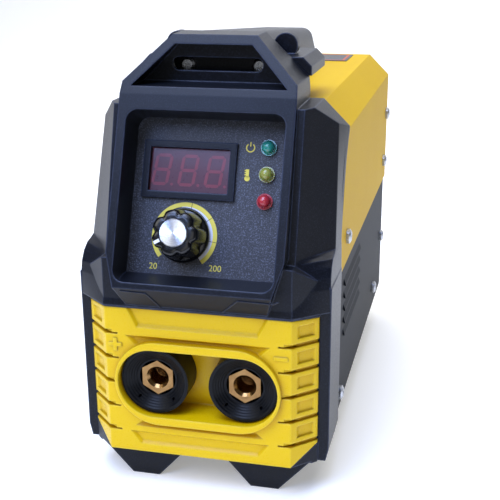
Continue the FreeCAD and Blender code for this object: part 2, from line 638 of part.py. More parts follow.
def socket_panel():
    play = "0.15"
    skin = body("panel_skin")
    front = loop(sketch(skin, "XZ_Plane", f"-{FACE_Y}"), panel_outline(play))
    pad(skin, front, f"{FRAME_Y} - {FACE_Y} - 0.05", back=True)
    wings = loop(sketch(skin, "XY_Plane"), [
        ("panel_half + 5", f"{FRAME_Y} - 1.4 + 5"),
        ("panel_half + 5", f"{FACE_Y} - 5"),
        ("face_half", f"{FACE_Y} - 5"),
        ("face_half", f"{FACE_Y}"),
        ("panel_half", f"{FRAME_Y} - 1.4"),
        ("panel_half", f"{FRAME_Y} - 1.4 + 5"),
    ])
    mirror_of(skin, [pocket(skin, wings, middle=True)])

    # Ribs: five grooves each side that follow the face and the wing.
    course = [
        ("panel_half + 5", f"{FRAME_Y} + 2"),
        ("panel_half + 5", f"{FACE_Y} - 5"),
        ("face_half - 3.5", f"{FACE_Y} - 5"),
        ("face_half - 3.5", f"{FACE_Y} + 0.4"),
        ("face_half - 0.8", f"{FACE_Y} + 1.7"),
        ("panel_half", f"{FRAME_Y} + 0.6"),
    ]
    both_ways(skin, "XY_Plane", "panel_high - rib_pitch * 5", course, "groove", middle=True)

    # A vent slit through the panel at the inner end of each groove, and a sunk field on each rib's wing.
    top = "panel_high - rib_pitch * 5 - 0.3"
    both_ways(skin, "XZ_Plane", f"-{FACE_Y}",
              rectangle("face_half - 6.5", "face_half + 1.5", f"{top} - slit", top), "8")
    field = [
        ("face_half + 2.4", f"{FACE_Y} + 2.3"),
        ("face_half + 3.2", f"{FACE_Y} + 3.3 + dimple_deep"),
        ("panel_half - 3.2", f"{FACE_Y} + 8.3 + dimple_deep"),
        ("panel_half - 1.6", f"{FACE_Y} + 9.8"),
        ("panel_half + 5", f"{FACE_Y} - 5"),
        ("face_half + 2.4", f"{FACE_Y} - 5"),
    ]
    both_ways(skin, "XY_Plane", "panel_high - rib_pitch * 4.5", field, "dimple", middle=True)

    # Sunk fields with sloping walls above and below the rim, and the channels beside it.
    sunk_field(skin, "panel_high + 1", "36.8", "panel_high - 10.2", "31.2", "1.6")
    sunk_field(skin, "panel_low + 11.7", "36.8", "panel_low + 4.4", "31.2", "1.6")
    sunk_field(skin, "panel_high - 14.6", "37.5", "panel_high - 24", "28", "1.8")
    sunk_field(skin, "panel_low + 20", "28", "panel_low + 14.6", "34", "1.8")

    hollow = body("panel_hollow")
    pad(hollow, loop(sketch(hollow, "XZ_Plane", f"-({FACE_Y} + wall + 1.8)"), panel_outline("wall")),
        "20", back=True)
    bevel = loop(sketch(hollow, "XY_Plane"), [
        ("panel_half + 5", f"{FRAME_Y} + 9"),
        ("panel_half + 5", f"{FACE_Y} - 5"),
        ("face_half - 2.5", f"{FACE_Y} - 5"),
        ("face_half - 2.5", f"{FACE_Y} + wall + 1.8"),
        ("panel_half - 2.5", f"{FRAME_Y} + 2.6"),
        ("panel_half - 2.5", f"{FRAME_Y} + 9"),
    ])
    mirror_of(hollow, [pocket(hollow, bevel, middle=True)])

    rim = "(socket_dia / 2 + rim_gap + rim_wall)"
    room = "(socket_dia / 2 + rim_gap)"
    ring_solid = stadium("rim_outer", rim, f"{FACE_Y} - rim_stand", "rim_stand + recess_floor + wall",
                         "(socket_pitch / 2 - rim_end_cut)")
    room_solid = stadium("rim_room", room, f"{FACE_Y} - rim_stand - 1", "rim_stand + recess_floor + 1")
    marks = [
        box("plus_bar", "-46.2", f"{FACE_Y} - 0.6", "77.2", 7, 1, 2),
        box("plus_post", "-43.7", f"{FACE_Y} - 0.6", "74.7", 2, 1, 7),
        box("minus_bar", "39.2", f"{FACE_Y} - 0.6", "77.2", 7, 1, 2),
    ]
    holes = [cylinder("socket_hole", "9", "30", f"{side} * socket_pitch / 2", FACE_Y, "socket_height", "rear")
             for side in (-1, 1)]
    shell = fuse("panel_shell", cut("panel_open", skin, hollow), ring_solid, *marks)
    node(cut("socket_panel", shell, fuse("panel_tools", room_solid, *holes)))


# ---------------------------------------------------------------- welding sockets


def socket(side, sign):
    """A panel socket: insulator, brass insert with a bore, and the nut behind the panel."""
    x = f"{sign} * socket_pitch / 2"
    front = f"({FACE_Y} + socket_front)"
    back = f"({FACE_Y} + recess_floor)"
    depth = f"({back} - {front} - 0.05)"
    shell = fuse(
        "insulator_solid",
        cylinder("insulator_drum", "socket_dia / 2", depth, x, front, "socket_height", "rear"),
        cylinder("insulator_neck", "8.9", "recess_floor + wall", x, f"{front} + 1", "socket_height", "rear"),
    )
    dish = doc.addObject("Part::Cone", "insulator_dish")
    bind(dish, Radius1="socket_dia / 2 - 1.6", Radius2="insert_flats / 2 + 2",
         Height="insert_front - socket_front")
    place(dish, x, f"{front} - 0.01", "socket_height", "rear")
    bore = fuse("insulator_bores",
                cylinder("hex_room", "insert_flats / sqrt(3) + 0.1", "insert_front + insert_head + 0.05 + 1",
                         x, f"{FACE_Y} - 1", "socket_height", "rear"),
                cylinder("barrel_room", "insert_flats / 2 - 0.55", "60", x, f"{front} - 1",
                         "socket_height", "rear"))
    dots = [cylinder("insulator_dot", "0.8", "6", f"{x} + {dx}", f"{front} - 0.1",
                     "socket_height - 10", "rear") for dx in (-9, 9)]
    node(cut(f"socket_body_{side}", shell, fuse("insulator_room", dish, bore, *dots)))

    face = f"({FACE_Y} + insert_front)"
    hexagon = prism("insert_hex", 6, "insert_flats / sqrt(3)", "insert_head", x, face, "socket_height",
                    "rear on edge")
    barrel = cylinder("insert_barrel", "insert_flats / 2 - 0.6", "32", x, f"{face} + 1",
                      "socket_height", "rear")
    bore = cylinder("insert_bore", "socket_bore / 2", "socket_depth", x, face, "socket_height", "rear")
    mouth = doc.addObject("Part::Cone", "insert_chamfer")
    bind(mouth, Radius1="socket_bore / 2 + insert_mouth", Radius2="socket_bore / 2", Height="insert_mouth")
    place(mouth, x, face, "socket_height", "rear")
    room = fuse("insert_room", bore, mouth)
    node(cut(f"socket_insert_{side}", fuse("insert_solid", hexagon, barrel), room))


# ---------------------------------------------------------------- control plate


def control_plate():
    outline = body("control_blank")
    pad(outline, loop(sketch(outline, "XY_Plane"), rectangle(
        "-control_half - wall + 0.2", "control_half + wall - 0.2",
        "control_low + control_sill - wall + 0.2", "control_high + wall - 0.2")), "plate", back=True)
    on_plate(outline, out="-0.05")
    window = box("display_cut", "0", "0", "0", "display_long - 4", "display_tall - 4", "plate * 4")
    on_plate(window, x="display_off - display_long / 2 + 2", up="2", out="-plate * 3")
    shaft = cylinder("shaft_cut", "shaft_dia / 2 + 2", "plate * 4")
    on_plate(shaft, x="display_off", up="-knob_drop", out="-plate * 3")
    lamps = []
    for index in range(3):
        hole = cylinder("lamp_cut", "lamp_dia / 2 - 1", "plate * 4")
        lamps.append(on_plate(hole, x="lamp_off", up=f"0.8 + lamp_pitch * {index}", out="-plate * 3"))
    node(cut("control_panel", outline, fuse("control_cuts", window, shaft, *lamps)))


def display():
    rim = body("display_bezel")
    outline = sketch(rim, "XY_Plane")
    loop(outline, rectangle("-display_long / 2", "display_long / 2", "0", "display_tall"))
    pad(rim, outline, "2")
    collar = loop(sketch(rim, "XY_Plane"), rectangle(
        "-display_long / 2 + 2.1", "display_long / 2 - 2.1", "2.1", "display_tall - 2.1"))
    pad(rim, collar, "plate + 4", back=True)
    opening = loop(sketch(rim, "XY_Plane", "2"), rectangle(
        "-display_long / 2 + 3.4", "display_long / 2 - 3.4", "3.4", "display_tall - 3.4"))
    pocket(rim, opening)
    node(on_plate(rim, x="display_off"))
    lens = box("display_window", "0", "0", "0", "display_long - 6.9", "display_tall - 6.9", "2")
    node(on_plate(lens, x="display_off - display_long / 2 + 3.45", up="3.45", out="-2.5"))
    board = box("board_sheet", "0", "0", "0", "display_long - 10", "display_tall - 10", "3")
    on_plate(board, x="display_off - display_long / 2 + 5", up="5", out="-5.6")
    node(board, "display_digits")


def lamp(name, index):
    lens = cylinder(name + "_lens", "lamp_dia / 2 - 0.6", "3")
    dome = doc.addObject("Part::Sphere", name + "_dome")
    bind(dome, Radius="lamp_dia / 2 - 0.6")
    place(dome, 0, 0, "2.4")
    flange = cylinder(name + "_flange", "lamp_dia / 2", "1.4")
    stem = cylinder(name + "_stem", "lamp_dia / 2 - 1.1", "plate + 5")
    place(stem, 0, 0, "-plate - 5")
    solid = fuse(name, lens, dome, flange, stem)
    node(on_plate(solid, x="lamp_off", up=f"0.8 + lamp_pitch * {index}"))


def current_knob():
    """Fluted knob on a skirt, its metal cap, and the potentiometer behind the plate."""
    knob = body("knob_blank")
    pad(knob, ring(sketch(knob, "XY_Plane", "0.6"), "0", "0", "knob_dia / 2"), "3.4")
    grip = ring(sketch(knob, "XY_Plane", "3.9"), "0", "0", "knob_dia / 2 - 2.6")
    pad(knob, grip, "knob_tall - 5.3").TaperAngle = -5
    flute = ring(sketch(knob, "XY_Plane", "knob_tall + 1"), "knob_dia / 2 - 1.8", "0", "2.3")
    first = pocket(knob, flute, "knob_tall - 3")
    flutes = knob.newObject("PartDesign::PolarPattern", "flutes")
    flutes.Originals = [first]
    flutes.Axis = (axis_of(knob, "Z_Axis"), [""])
    flutes.Angle = 360
    flutes.Occurrences = 12
    knob.Tip = flutes
    seat = ring(sketch(knob, "XY_Plane", "knob_tall + 1"), "0", "0", "knob_dia / 4 + 0.6")
    pocket(knob, seat, "2.6")
    bore = ring(sketch(knob, "XY_Plane", "0"), "0", "0", "shaft_dia / 2 + 0.02")
    pocket(knob, bore, "knob_tall - 5", back=True)
    knob.Label = "current_knob"
    node(on_plate(knob, x="display_off", up="-knob_drop"))
    cap = doc.addObject("Part::Cylinder", "knob_cap")
    bind(cap, Radius="knob_dia / 4 + 0.55", Height="2")
    node(on_plate(cap, x="display_off", up="-knob_drop", out="knob_tall - 1.55"))
    # The white pointer lies on the knob's rim, turned to the low end of the dial.
    bar = doc.addObject("Part::Box", "pointer_bar")
    bind(bar, Length=3, Width=1.6, Height=0.4)
    bar.Placement = FreeCAD.Placement(Vector(), Rotation(Vector(0, 0, 1), 210))
    start = "(knob_dia / 4 + 0.8)"
    bind(bar, Placement__Base__x=f"{start} * cos(210) + 0.8 * sin(210)",
         Placement__Base__y=f"{start} * sin(210) - 0.8 * cos(210)")
    node(on_plate(group("knob_pointer", [bar]), x="display_off", up="-knob_drop", out="knob_tall - 1.4"))


def potentiometer():
    shaft = cylinder("potentiometer_shaft", "shaft_dia / 2", "knob_tall + 3")
    node(on_plate(shaft, x="display_off", up="-knob_drop", out="-8.5"))
    can = cylinder("pot_can", "8.5", "9")
    place(can, 0, 0, "-plate - 10.5")
    bush = cylinder("pot_bush", "4", "plate + 1.6")
    place(bush, 0, 0, "-plate - 1.7")
    hole = cylinder("pot_hole", "shaft_dia / 2 + 0.05", "20")
    place(hole, 0, 0, "-8.6")
    solid = cut("potentiometer", fuse("pot_solid", can, bush), hole)
    node(on_plate(solid, x="display_off", up="-knob_drop"))


# ---------------------------------------------------------------- sheet case


def case_outline(half, top, inset):
    """Right half of the case's front outline, without its bottom."""
    return [
        ("0", f"{top} - ({inset})"),
        (f"{half} - case_corner - ({inset}) * 0.414", f"{top} - ({inset})"),
        (f"{half} - ({inset})", f"{top} - case_corner - ({inset}) * 0.414"),
    ]


def bezel_back(behind):
    """Side view of the bezel's rear edge: upright low down, then leaning back to the hood's rear."""
    return [
        (f"front_edge + bezel_low_back + {behind}", "-10"),
        (f"front_edge + bezel_low_back + {behind}", "bezel_bend"),
        (f"{HOOD_Y} + {behind}", "case_top - case_corner"),
        (f"{HOOD_Y} + {behind}", "hood_top + 20"),
    ]


def clear_of_bezel(owner, behind="0.1"):
    """Give a solid a front edge that follows the bezel's rear edge, some way behind it."""
    front = [("front_edge - 20", "hood_top + 20"), ("front_edge - 20", "-10")]
    pocket(owner, loop(sketch(owner, "YZ_Plane"), bezel_back(behind) + front), middle=True)


def side_holes(name, spots):
    """Clearance holes from side to side."""
    return [cylinder(name + "_hole", "screw_dia / 2 + 0.1", "case_width + 10", f"-{HALF} - 5", y, z, "right")
            for y, z in spots]


def case_cover():
    cover = body("cover_sheet")
    outer = case_outline(HALF, "case_top", "0") + [(HALF, "cover_edge")]
    inner = case_outline(HALF, "case_top", "sheet") + [(f"{HALF} - sheet", "cover_edge")]
    left = [(f"-({x})", z) for x, z in reversed(outer[1:])]
    left_inner = [(f"-({x})", z) for x, z in inner[1:]]
    points = outer[1:] + list(reversed(inner[1:])) + left_inner + left
    pad(cover, loop(sketch(cover, "XZ_Plane", f"-{CASE_Y}"), points), "case_length", back=True)
    clear_of_bezel(cover)
    holes = side_holes("cover", UPPER_SCREWS)
    holes += [cylinder("base_hole", "screw_dia / 2 + 0.1", "10", x,
                       f"{REAR_Y} - handle_clear - post_long / 2", "case_top - 5")
              for x in ("-post_screw_off", "post_screw_off")]
    node(cut("case_cover", cover, fuse("cover_holes", *holes)))


def base_tray():
    tray = body("tray_sheet")
    top = "(cover_edge + 22)"
    points = [
        (TRAY_HALF, top), (TRAY_HALF, "case_base"), (f"-{TRAY_HALF}", "case_base"), (f"-{TRAY_HALF}", top),
        (f"-({TRAY_HALF} - sheet)", top), (f"-({TRAY_HALF} - sheet)", "case_base + sheet"),
        (f"{TRAY_HALF} - sheet", "case_base + sheet"), (f"{TRAY_HALF} - sheet", top),
    ]
    pad(tray, loop(sketch(tray, "XZ_Plane", f"-{CASE_Y}"), points), "case_length", back=True)
    start = f"({CASE_Y} + vent_start)"
    inner, outer = f"{TRAY_HALF} - sheet", f"{TRAY_HALF} + vent_out"
    blade = [
        (inner, "vent_low + vent_open"), (TRAY_HALF, "vent_low + vent_open"), (outer, "vent_low + 0.4"),
        (outer, "vent_low - 0.4"), (f"{outer} - 0.6", "vent_low - 0.4"),
        (inner, "vent_low + vent_open - 0.8"),
    ]
    for sign, points in ((1, blade), (-1, other_side(blade))):
        window = rectangle(start, f"{start} + vent_long", "vent_low", "vent_low + vent_open")
        profile = loop(sketch(tray, "YZ_Plane", f"{sign} * {TRAY_HALF}"), window)
        slot = pocket(tray, profile, "3", back=sign < 0)
        lip = pad(tray, loop(sketch(tray, "XZ_Plane", f"-{start}"), points), "vent_long", back=True)
        row_of(tray, [slot, lip], "Z_Axis", "vent_pitch * 4", 5)
    clear_of_bezel(tray)
    node(cut("base_tray", tray, fuse("tray_holes", *side_holes("tray", UPPER_SCREWS[:2] + LOWER_SCREWS))))


# ---------------------------------------------------------------- handle


def handle():
    """Grip, the cross block that meets the hood, and the rear post."""
    grip = body("grip_bar")
    start = HOOD_Y
    end = f"({REAR_Y} - handle_clear)"
    top = f"hood_top - ({end} - {start}) * handle_fall"
    profile = [
        (start, "hood_top"), (f"{end} - 8", f"{top} + 0.6"), (end, f"{top} - 6"), (end, "case_top"),
        (f"{end} - post_long", "case_top"), (f"{end} - post_long", f"{top} - handle_thick - 6"),
        (f"{end} - post_long - 6", f"{top} - handle_thick"),
        (f"{start} + block_long + 5", "hood_top - handle_thick - 3"),
        (f"{start} + block_long", "case_top + block_low"), (start, "case_top + block_low"),
    ]
    pad(grip, loop(sketch(grip, "YZ_Plane"), profile), "handle_half * 2", middle=True)
    doc.recompute()
    level = 2 * sheet.get("case_top") + 34
    round_edges(grip, lambda a, b: a.z + b.z > level and abs(a.x - b.x) < 0.1 and abs(a.y - b.y) > 2,
                "grip_round")
    block = body("cross_block")
    outline = mirrored([
        ("0", "case_top + block_high"), ("block_half - 4.5", "case_top + block_high"),
        ("block_half", "case_top + block_high - 4.5"), ("block_half", "case_top + block_low"),
        ("0", "case_top + block_low"),
    ])
    pad(block, loop(sketch(block, "XZ_Plane", f"-{start}"), outline), "block_long", back=True)
    front_spots = ("-hood_screw_off", "hood_screw_off")
    rear_spots = ("-post_screw_off", "post_screw_off")
    rear_y = f"{end} - post_long / 2"
    pilots = [cylinder("handle_pilot", "screw_dia / 2", "13", x, f"{start} - 1", HANDLE_Z, "rear")
              for x in front_spots]
    pilots += [cylinder("base_pilot", "screw_dia / 2", "14", x, rear_y, "case_top - 1") for x in rear_spots]
    boss = cylinder("post_boss", "7.5", "1.5", 0, f"{end} - post_long - 1.5", "case_top + 12", "rear")
    lugs = [cylinder("strap_lug", "lug_dia / 2", "lug_reach", x, f"{start} + 13",
                     "case_top + lug_rise + lug_dia / 2", "rear") for x in ("-lug_off", "lug_off")]
    solid = fuse("handle_solid", grip, block, boss, *lugs)
    node(cut("handle", solid, fuse("handle_pilots", *pilots)))
    screws = [screw("handle_screw", x, f"{start} - wall", HANDLE_Z, "rear", "wall + 9") for x in front_spots]
    screws += [screw("post_screw", x, rear_y, "case_top - sheet", "up", "12") for x in rear_spots]
    node(group("handle_screws", screws))


def round_edges(owner, wanted, radius):
    """Round the edges whose two ends pass a test."""
    names = []
    for index, edge in enumerate(owner.Shape.Edges, start=1):
        ends = [vertex.Point for vertex in edge.Vertexes]
        if len(ends) == 2 and wanted(*ends):
            names.append(f"Edge{index}")
    if not names:
        raise RuntimeError(f"no edges to round on {owner.Label}")
    base = owner.Tip
    item = owner.newObject("PartDesign::Fillet", "round")
    item.Base = (base, names)
    bind(item, Radius=radius)
    return item


# ---------------------------------------------------------------- rear end


REAR_INSET = "(sheet * 2 + sheet_play * 2)"


def rear_bezel():
    frame = body("rear_blank")
    outline = case_outline(HALF, "(case_top + sheet)", REAR_INSET) + [
        (f"{HALF} - {REAR_INSET}", "case_base + sheet + 0.2"), ("0", "case_base + sheet + 0.2")]
    pad(frame, loop(sketch(frame, "XZ_Plane", f"-{PANEL_Y}"), mirrored(outline)), "rear_frame", back=True)
    pocket(frame, loop(sketch(frame, "XZ_Plane", f"-({PANEL_Y} - 1)"), mirrored([
        ("0", "case_top - 12"), (f"{HALF} - case_corner - 10", "case_top - 12"),
        (f"{HALF} - 14", "case_top - case_corner - 9"), (f"{HALF} - 14", "case_base + 20"),
        (f"{HALF} - 22", "case_base + 12"), ("0", "case_base + 12"),
    ])))
    # Seat for the rear panel, open towards the case.
    pocket(frame, loop(sketch(frame, "XZ_Plane", f"-{PANEL_Y}"), mirrored([
        ("0", "case_top - 6"), (f"{HALF} - case_corner - 4", "case_top - 6"),
        (f"{HALF} - 6", "case_top - case_corner - 6"),
        (f"{HALF} - 6", "case_base + 8"), ("0", "case_base + 8"),
    ])), "sheet + 0.4")
    strip = pad(frame, loop(sketch(frame, "XZ_Plane", f"-{PANEL_Y}"), flange_points(REAR_INSET)), "8")
    mirror_of(frame, [strip])
    holes = [cylinder("rear_hole", "screw_dia / 2", "20", f"{side} * ({HALF} - 14)", y, z, turn)
             for side, turn in ((1, "right"), (-1, "left")) for y, z in REAR_SCREWS + SHEET_SCREWS[:1]]
    pilots = [cylinder("panel_pilot", "screw_dia / 2", "8", x, f"{PANEL_Y} + 1", z, "rear")
              for x, z in PANEL_SCREWS]
    node(cut("rear_bezel", frame, fuse("rear_holes", *holes, *pilots)))


def rear_feet():
    """Two feet under the rear end of the tray, as wide at the floor as the front ones."""
    feet = body("right_foot")
    outline = [("foot_outer + 8", "case_base"), ("foot_outer", "0"), ("foot_inner", "0"),
               ("foot_inner - 8", "case_base")]
    pad(feet, loop(sketch(feet, "XZ_Plane", f"-({REAR_Y} - 44)"), outline), "36", back=True)
    second = body("left_foot")
    pad(second, loop(sketch(second, "XZ_Plane", f"-({REAR_Y} - 44)"), other_side(outline)), "36", back=True)
    node(group("rear_feet", [feet, second]))


def flange_points(inset):
    """A narrow upright strip inside the right wall of the case."""
    inner = f"({HALF} - ({inset}))"
    return rectangle(f"{inner} - wall", inner, "panel_low + 20", "case_top - case_corner - 8")


PANEL_SCREWS = [(f"{side} * ({HALF} - 10.5)", z) for side in (-1, 1)
                for z in ("case_base + 20", "case_top - case_corner - 12")]


def rear_panel():
    panel = body("rear_sheet")
    pad(panel, loop(sketch(panel, "XZ_Plane", f"-({PANEL_Y} + 0.2)"), mirrored([
        ("0", "case_top - 6.3"), (f"{HALF} - case_corner - 4.2", "case_top - 6.3"),
        (f"{HALF} - 6.3", "case_top - case_corner - 6.2"), (f"{HALF} - 6.3", "case_base + 8.3"),
        ("0", "case_base + 8.3"),
    ])), "sheet", back=True)
    near = f"{PANEL_Y} - 2"
    tools = [
        cylinder("fan_window", "fan_side / 2 - 4", "10", 0, near, "fan_height", "rear"),
        box("switch_window", "-switch_off - 11", near, "switch_height - 14", 22, 10, 28),
        cylinder("gland_window", "lead_dia / 2 + 3.1", "10", "switch_off", near, "switch_height", "rear"),
        cylinder("earth_window", "2.6", "10", 0, near, "switch_height", "rear"),
    ]
    tools += [cylinder("panel_hole", "screw_dia / 2 + 0.2", "10", x, near, z, "rear")
              for x, z in PANEL_SCREWS + fan_corners()]
    node(cut("rear_panel", panel, fuse("rear_windows", *tools)))
    node(group("panel_screws", [screw("panel_screw", x, f"{PANEL_Y} + 0.2", z, "rear", "8")
                                for x, z in PANEL_SCREWS]))


def fan_corners():
    """Corner holes of the fan frame."""
    reach = "(fan_side / 2 - fan_screw_in)"
    return [(f"{a} * {reach}", f"fan_height + {b} * {reach}") for a in (-1, 1) for b in (-1, 1)]


def fan():
    front = f"({PANEL_Y} - fan_deep - 0.1)"
    frame = box("fan_block", "-fan_side / 2", front, "fan_height - fan_side / 2",
                "fan_side", "fan_deep", "fan_side")
    duct = cylinder("fan_duct", "fan_side / 2 - 2.5", "60", 0, f"{front} - 10", "fan_height", "rear")
    waist = cut("fan_waist",
                cylinder("fan_waist_in", "fan_side", "fan_deep - 8", 0, f"{front} + 4", "fan_height", "rear"),
                cylinder("fan_waist_out", "fan_side / 2", "60", 0, f"{front} - 10", "fan_height", "rear"))
    ears = [cylinder("fan_ear", "screw_dia / 2 + 0.2", "60", x, f"{front} - 10", z, "rear")
            for x, z in fan_corners()]
    shell = cut("fan_shell", frame, fuse("fan_tools", duct, waist, *ears))
    hub = cylinder("motor_cup", "20", "3", 0, front, "fan_height", "rear")
    arms = [box("motor_arm", "-fan_side / 2 + 1", front, f"fan_height - 2", "fan_side - 2", 3, 4),
            box("motor_arm", "-2", front, f"fan_height - fan_side / 2 + 1", 4, 3, "fan_side - 2")]
    spindle = cylinder("motor_spindle", "2", "14", 0, front, "fan_height", "rear")
    node(fuse("fan_frame", shell, hub, *arms, spindle))

    rotor = body("fan_rotor")
    pad(rotor, ring(sketch(rotor, "XZ_Plane", "0"), "0", "0", "19"), "17", back=True)
    blade = loop(sketch(rotor, "XY_Plane", "17"), [
        ("-9", "2"), ("-7.5", "1"), ("9", "14.5"), ("7.5", "15.5"),
    ])
    wing = pad(rotor, blade, "fan_side / 2 - 2.5 - 17 - 1.5")
    blades = rotor.newObject("PartDesign::PolarPattern", "blades")
    blades.Originals = [wing]
    blades.Axis = (axis_of(rotor, "Y_Axis"), [""])
    blades.Angle = 360
    blades.Occurrences = 7
    rotor.Tip = blades
    pocket(rotor, ring(sketch(rotor, "XZ_Plane", "5"), "0", "0", "2.05"), "16")
    place(rotor, 0, f"{front} + 3.6", "fan_height")
    node(rotor)

    guard = []
    for step in range(5):
        loop_ring = doc.addObject("Part::Torus", "guard_ring")
        bind(loop_ring, Radius1=f"(fan_side / 2 - 4) * {step + 1} / 5", Radius2="1")
        guard.append(place(loop_ring, 0, f"{PANEL_Y} + 3.2", "fan_height", "rear"))
    guard += [
        box("guard_bar", "-fan_side / 2 + 3", f"{PANEL_Y} + 3.4", "fan_height - 1", "fan_side - 6", 1.4, 2),
        box("guard_bar", "-1", f"{PANEL_Y} + 3.4", "fan_height - fan_side / 2 + 3", 2, 1.4, "fan_side - 6"),
    ]
    eyes = []
    for x, z in fan_corners():
        eye = cut("guard_eye", cylinder("eye_out", "4.4", "2", x, f"{PANEL_Y} + 1.2", z, "rear"),
                  cylinder("eye_in", "screw_dia / 2 + 0.2", "6", x, f"{PANEL_Y}", z, "rear"))
        eyes.append(eye)
    legs = []
    start = "(fan_side / 2 - guard_leg_in)"
    for a, b in ((-1, -1), (-1, 1), (1, -1), (1, 1)):
        leg = doc.addObject("Part::Box", "guard_leg")
        leg.Placement = FreeCAD.Placement(Vector(), Rotation(Vector(0, 1, 0), math.degrees(math.atan2(a, b))))
        bind(leg, Length=1.6, Width=1.4, Height="(guard_leg_in - fan_screw_in) * sqrt(2) - 2.67",
             Placement__Base__x=f"{a} * {start} - 0.8 * {b} * sqrt(0.5)",
             Placement__Base__y=f"{PANEL_Y} + 1.8",
             Placement__Base__z=f"fan_height + {b} * {start} + 0.8 * {a} * sqrt(0.5)")
        legs.append(leg)
    node(fuse("fan_guard", *guard, *eyes, *legs))
    screws = [screw("fan_screw", x, f"{PANEL_Y} + 3.3", z, "front", "fan_deep + 3") for x, z in fan_corners()]
    node(group("fan_screws", screws))


def power_switch():
    pivot_y = f"({PANEL_Y} + 4)"
    shell = fuse(
        "switch_solid",
        box("switch_rim", "-switch_off - 13", f"{PANEL_Y} + 1.25", "switch_height - 17", 26, 2.4, 34),
        box("switch_case", "-switch_off - 10.8", f"{PANEL_Y} - 22", "switch_height - 13.8", 21.6, 24, 27.6),
    )
    room = box("switch_room", "-switch_off - 9.2", f"{PANEL_Y} - 9", "switch_height - 12.9", 18.4, 30, 25.8)
    pins = [box("switch_pin", f"-switch_off + {x}", f"{PANEL_Y} - 32", f"switch_height + {z}", 0.8, 10.5, 6.3)
            for x in (-5, 5) for z in (-10, 3)]
    axle = cylinder("switch_axle", "1.5", "18.6", "-switch_off - 9.3", pivot_y, "switch_height", "right")
    ears = [box("switch_ear", f"-switch_off + {x}", f"{PANEL_Y} + 1", "switch_height - 2.6", 1.1, 5.4, 5.2)
            for x in (-9.3, 8.2)]
    node(fuse("power_switch", cut("switch_shell", shell, room), *pins, axle, *ears))
    rocker = body("power_rocker")
    pad(rocker, loop(sketch(rocker, "YZ_Plane"), [
        ("-7", "-8"), ("-2", "-11.6"), ("4.5", "-11.6"), ("2.6", "0"), ("4.5", "11.6"), ("-2", "11.6"),
        ("-7", "8"),
    ]), "16", middle=True)
    pocket(rocker, ring(sketch(rocker, "YZ_Plane", "-20"), "0", "0", "1.55"), "40", back=True)
    rocker.Placement = FreeCAD.Placement(Vector(), Rotation(Vector(1, 0, 0), 9))
    bind(rocker, Placement__Base__x="-switch_off", Placement__Base__y=pivot_y,
         Placement__Base__z="switch_height")
    node(rocker)


def cable_entry():
    """Gland with its sealing cap and the nut inside, and the earth stud."""
    inner = "lead_dia / 2 + 0.25"
    near = f"{PANEL_Y} + 2"
    long = "rear_frame + gland_reach"
    solid = fuse(
        "gland_solid",
        cylinder("gland_thread", "lead_dia / 2 + 3", "12", "switch_off", f"{PANEL_Y} - 8", "switch_height",
                 "rear"),
        prism("gland_hex", 6, "lead_dia / 2 + 6.5", "6", "switch_off", f"{PANEL_Y} + 1.25", "switch_height",
              "rear"),
        cylinder("gland_body", "lead_dia / 2 + 5", f"{long} - 5", "switch_off", near, "switch_height",
                 "rear"),
        cylinder("gland_nose", "lead_dia / 2 + 3.2", f"{long} - 2", "switch_off", near, "switch_height",
                 "rear"),
    )
    bore = cylinder("gland_bore", inner, "80", "switch_off", f"{PANEL_Y} - 20", "switch_height", "rear")
    node(cut("cable_gland", solid, bore))
    nut = cut("nut_cut",
              prism("nut_hex", 6, "lead_dia / 2 + 6.5", "5", "switch_off", f"{PANEL_Y} - 5",
                    "switch_height", "rear"),
              cylinder("nut_bore", "lead_dia / 2 + 3.02", "20", "switch_off", f"{PANEL_Y} - 10",
                       "switch_height", "rear"))
    node(nut, "gland_nut")
    stud = fuse("earth_stud", cylinder("stud_rod", "2.5", "24", 0, f"{PANEL_Y} - 8", "switch_height", "rear"),
                prism("stud_nut", 6, "4.6", "4", 0, f"{PANEL_Y} + 1.25", "switch_height", "rear"),
                prism("stud_nut", 6, "4.6", "4", 0, f"{PANEL_Y} - 3.9", "switch_height", "rear"))
    node(stud)


# ---------------------------------------------------------------- inside


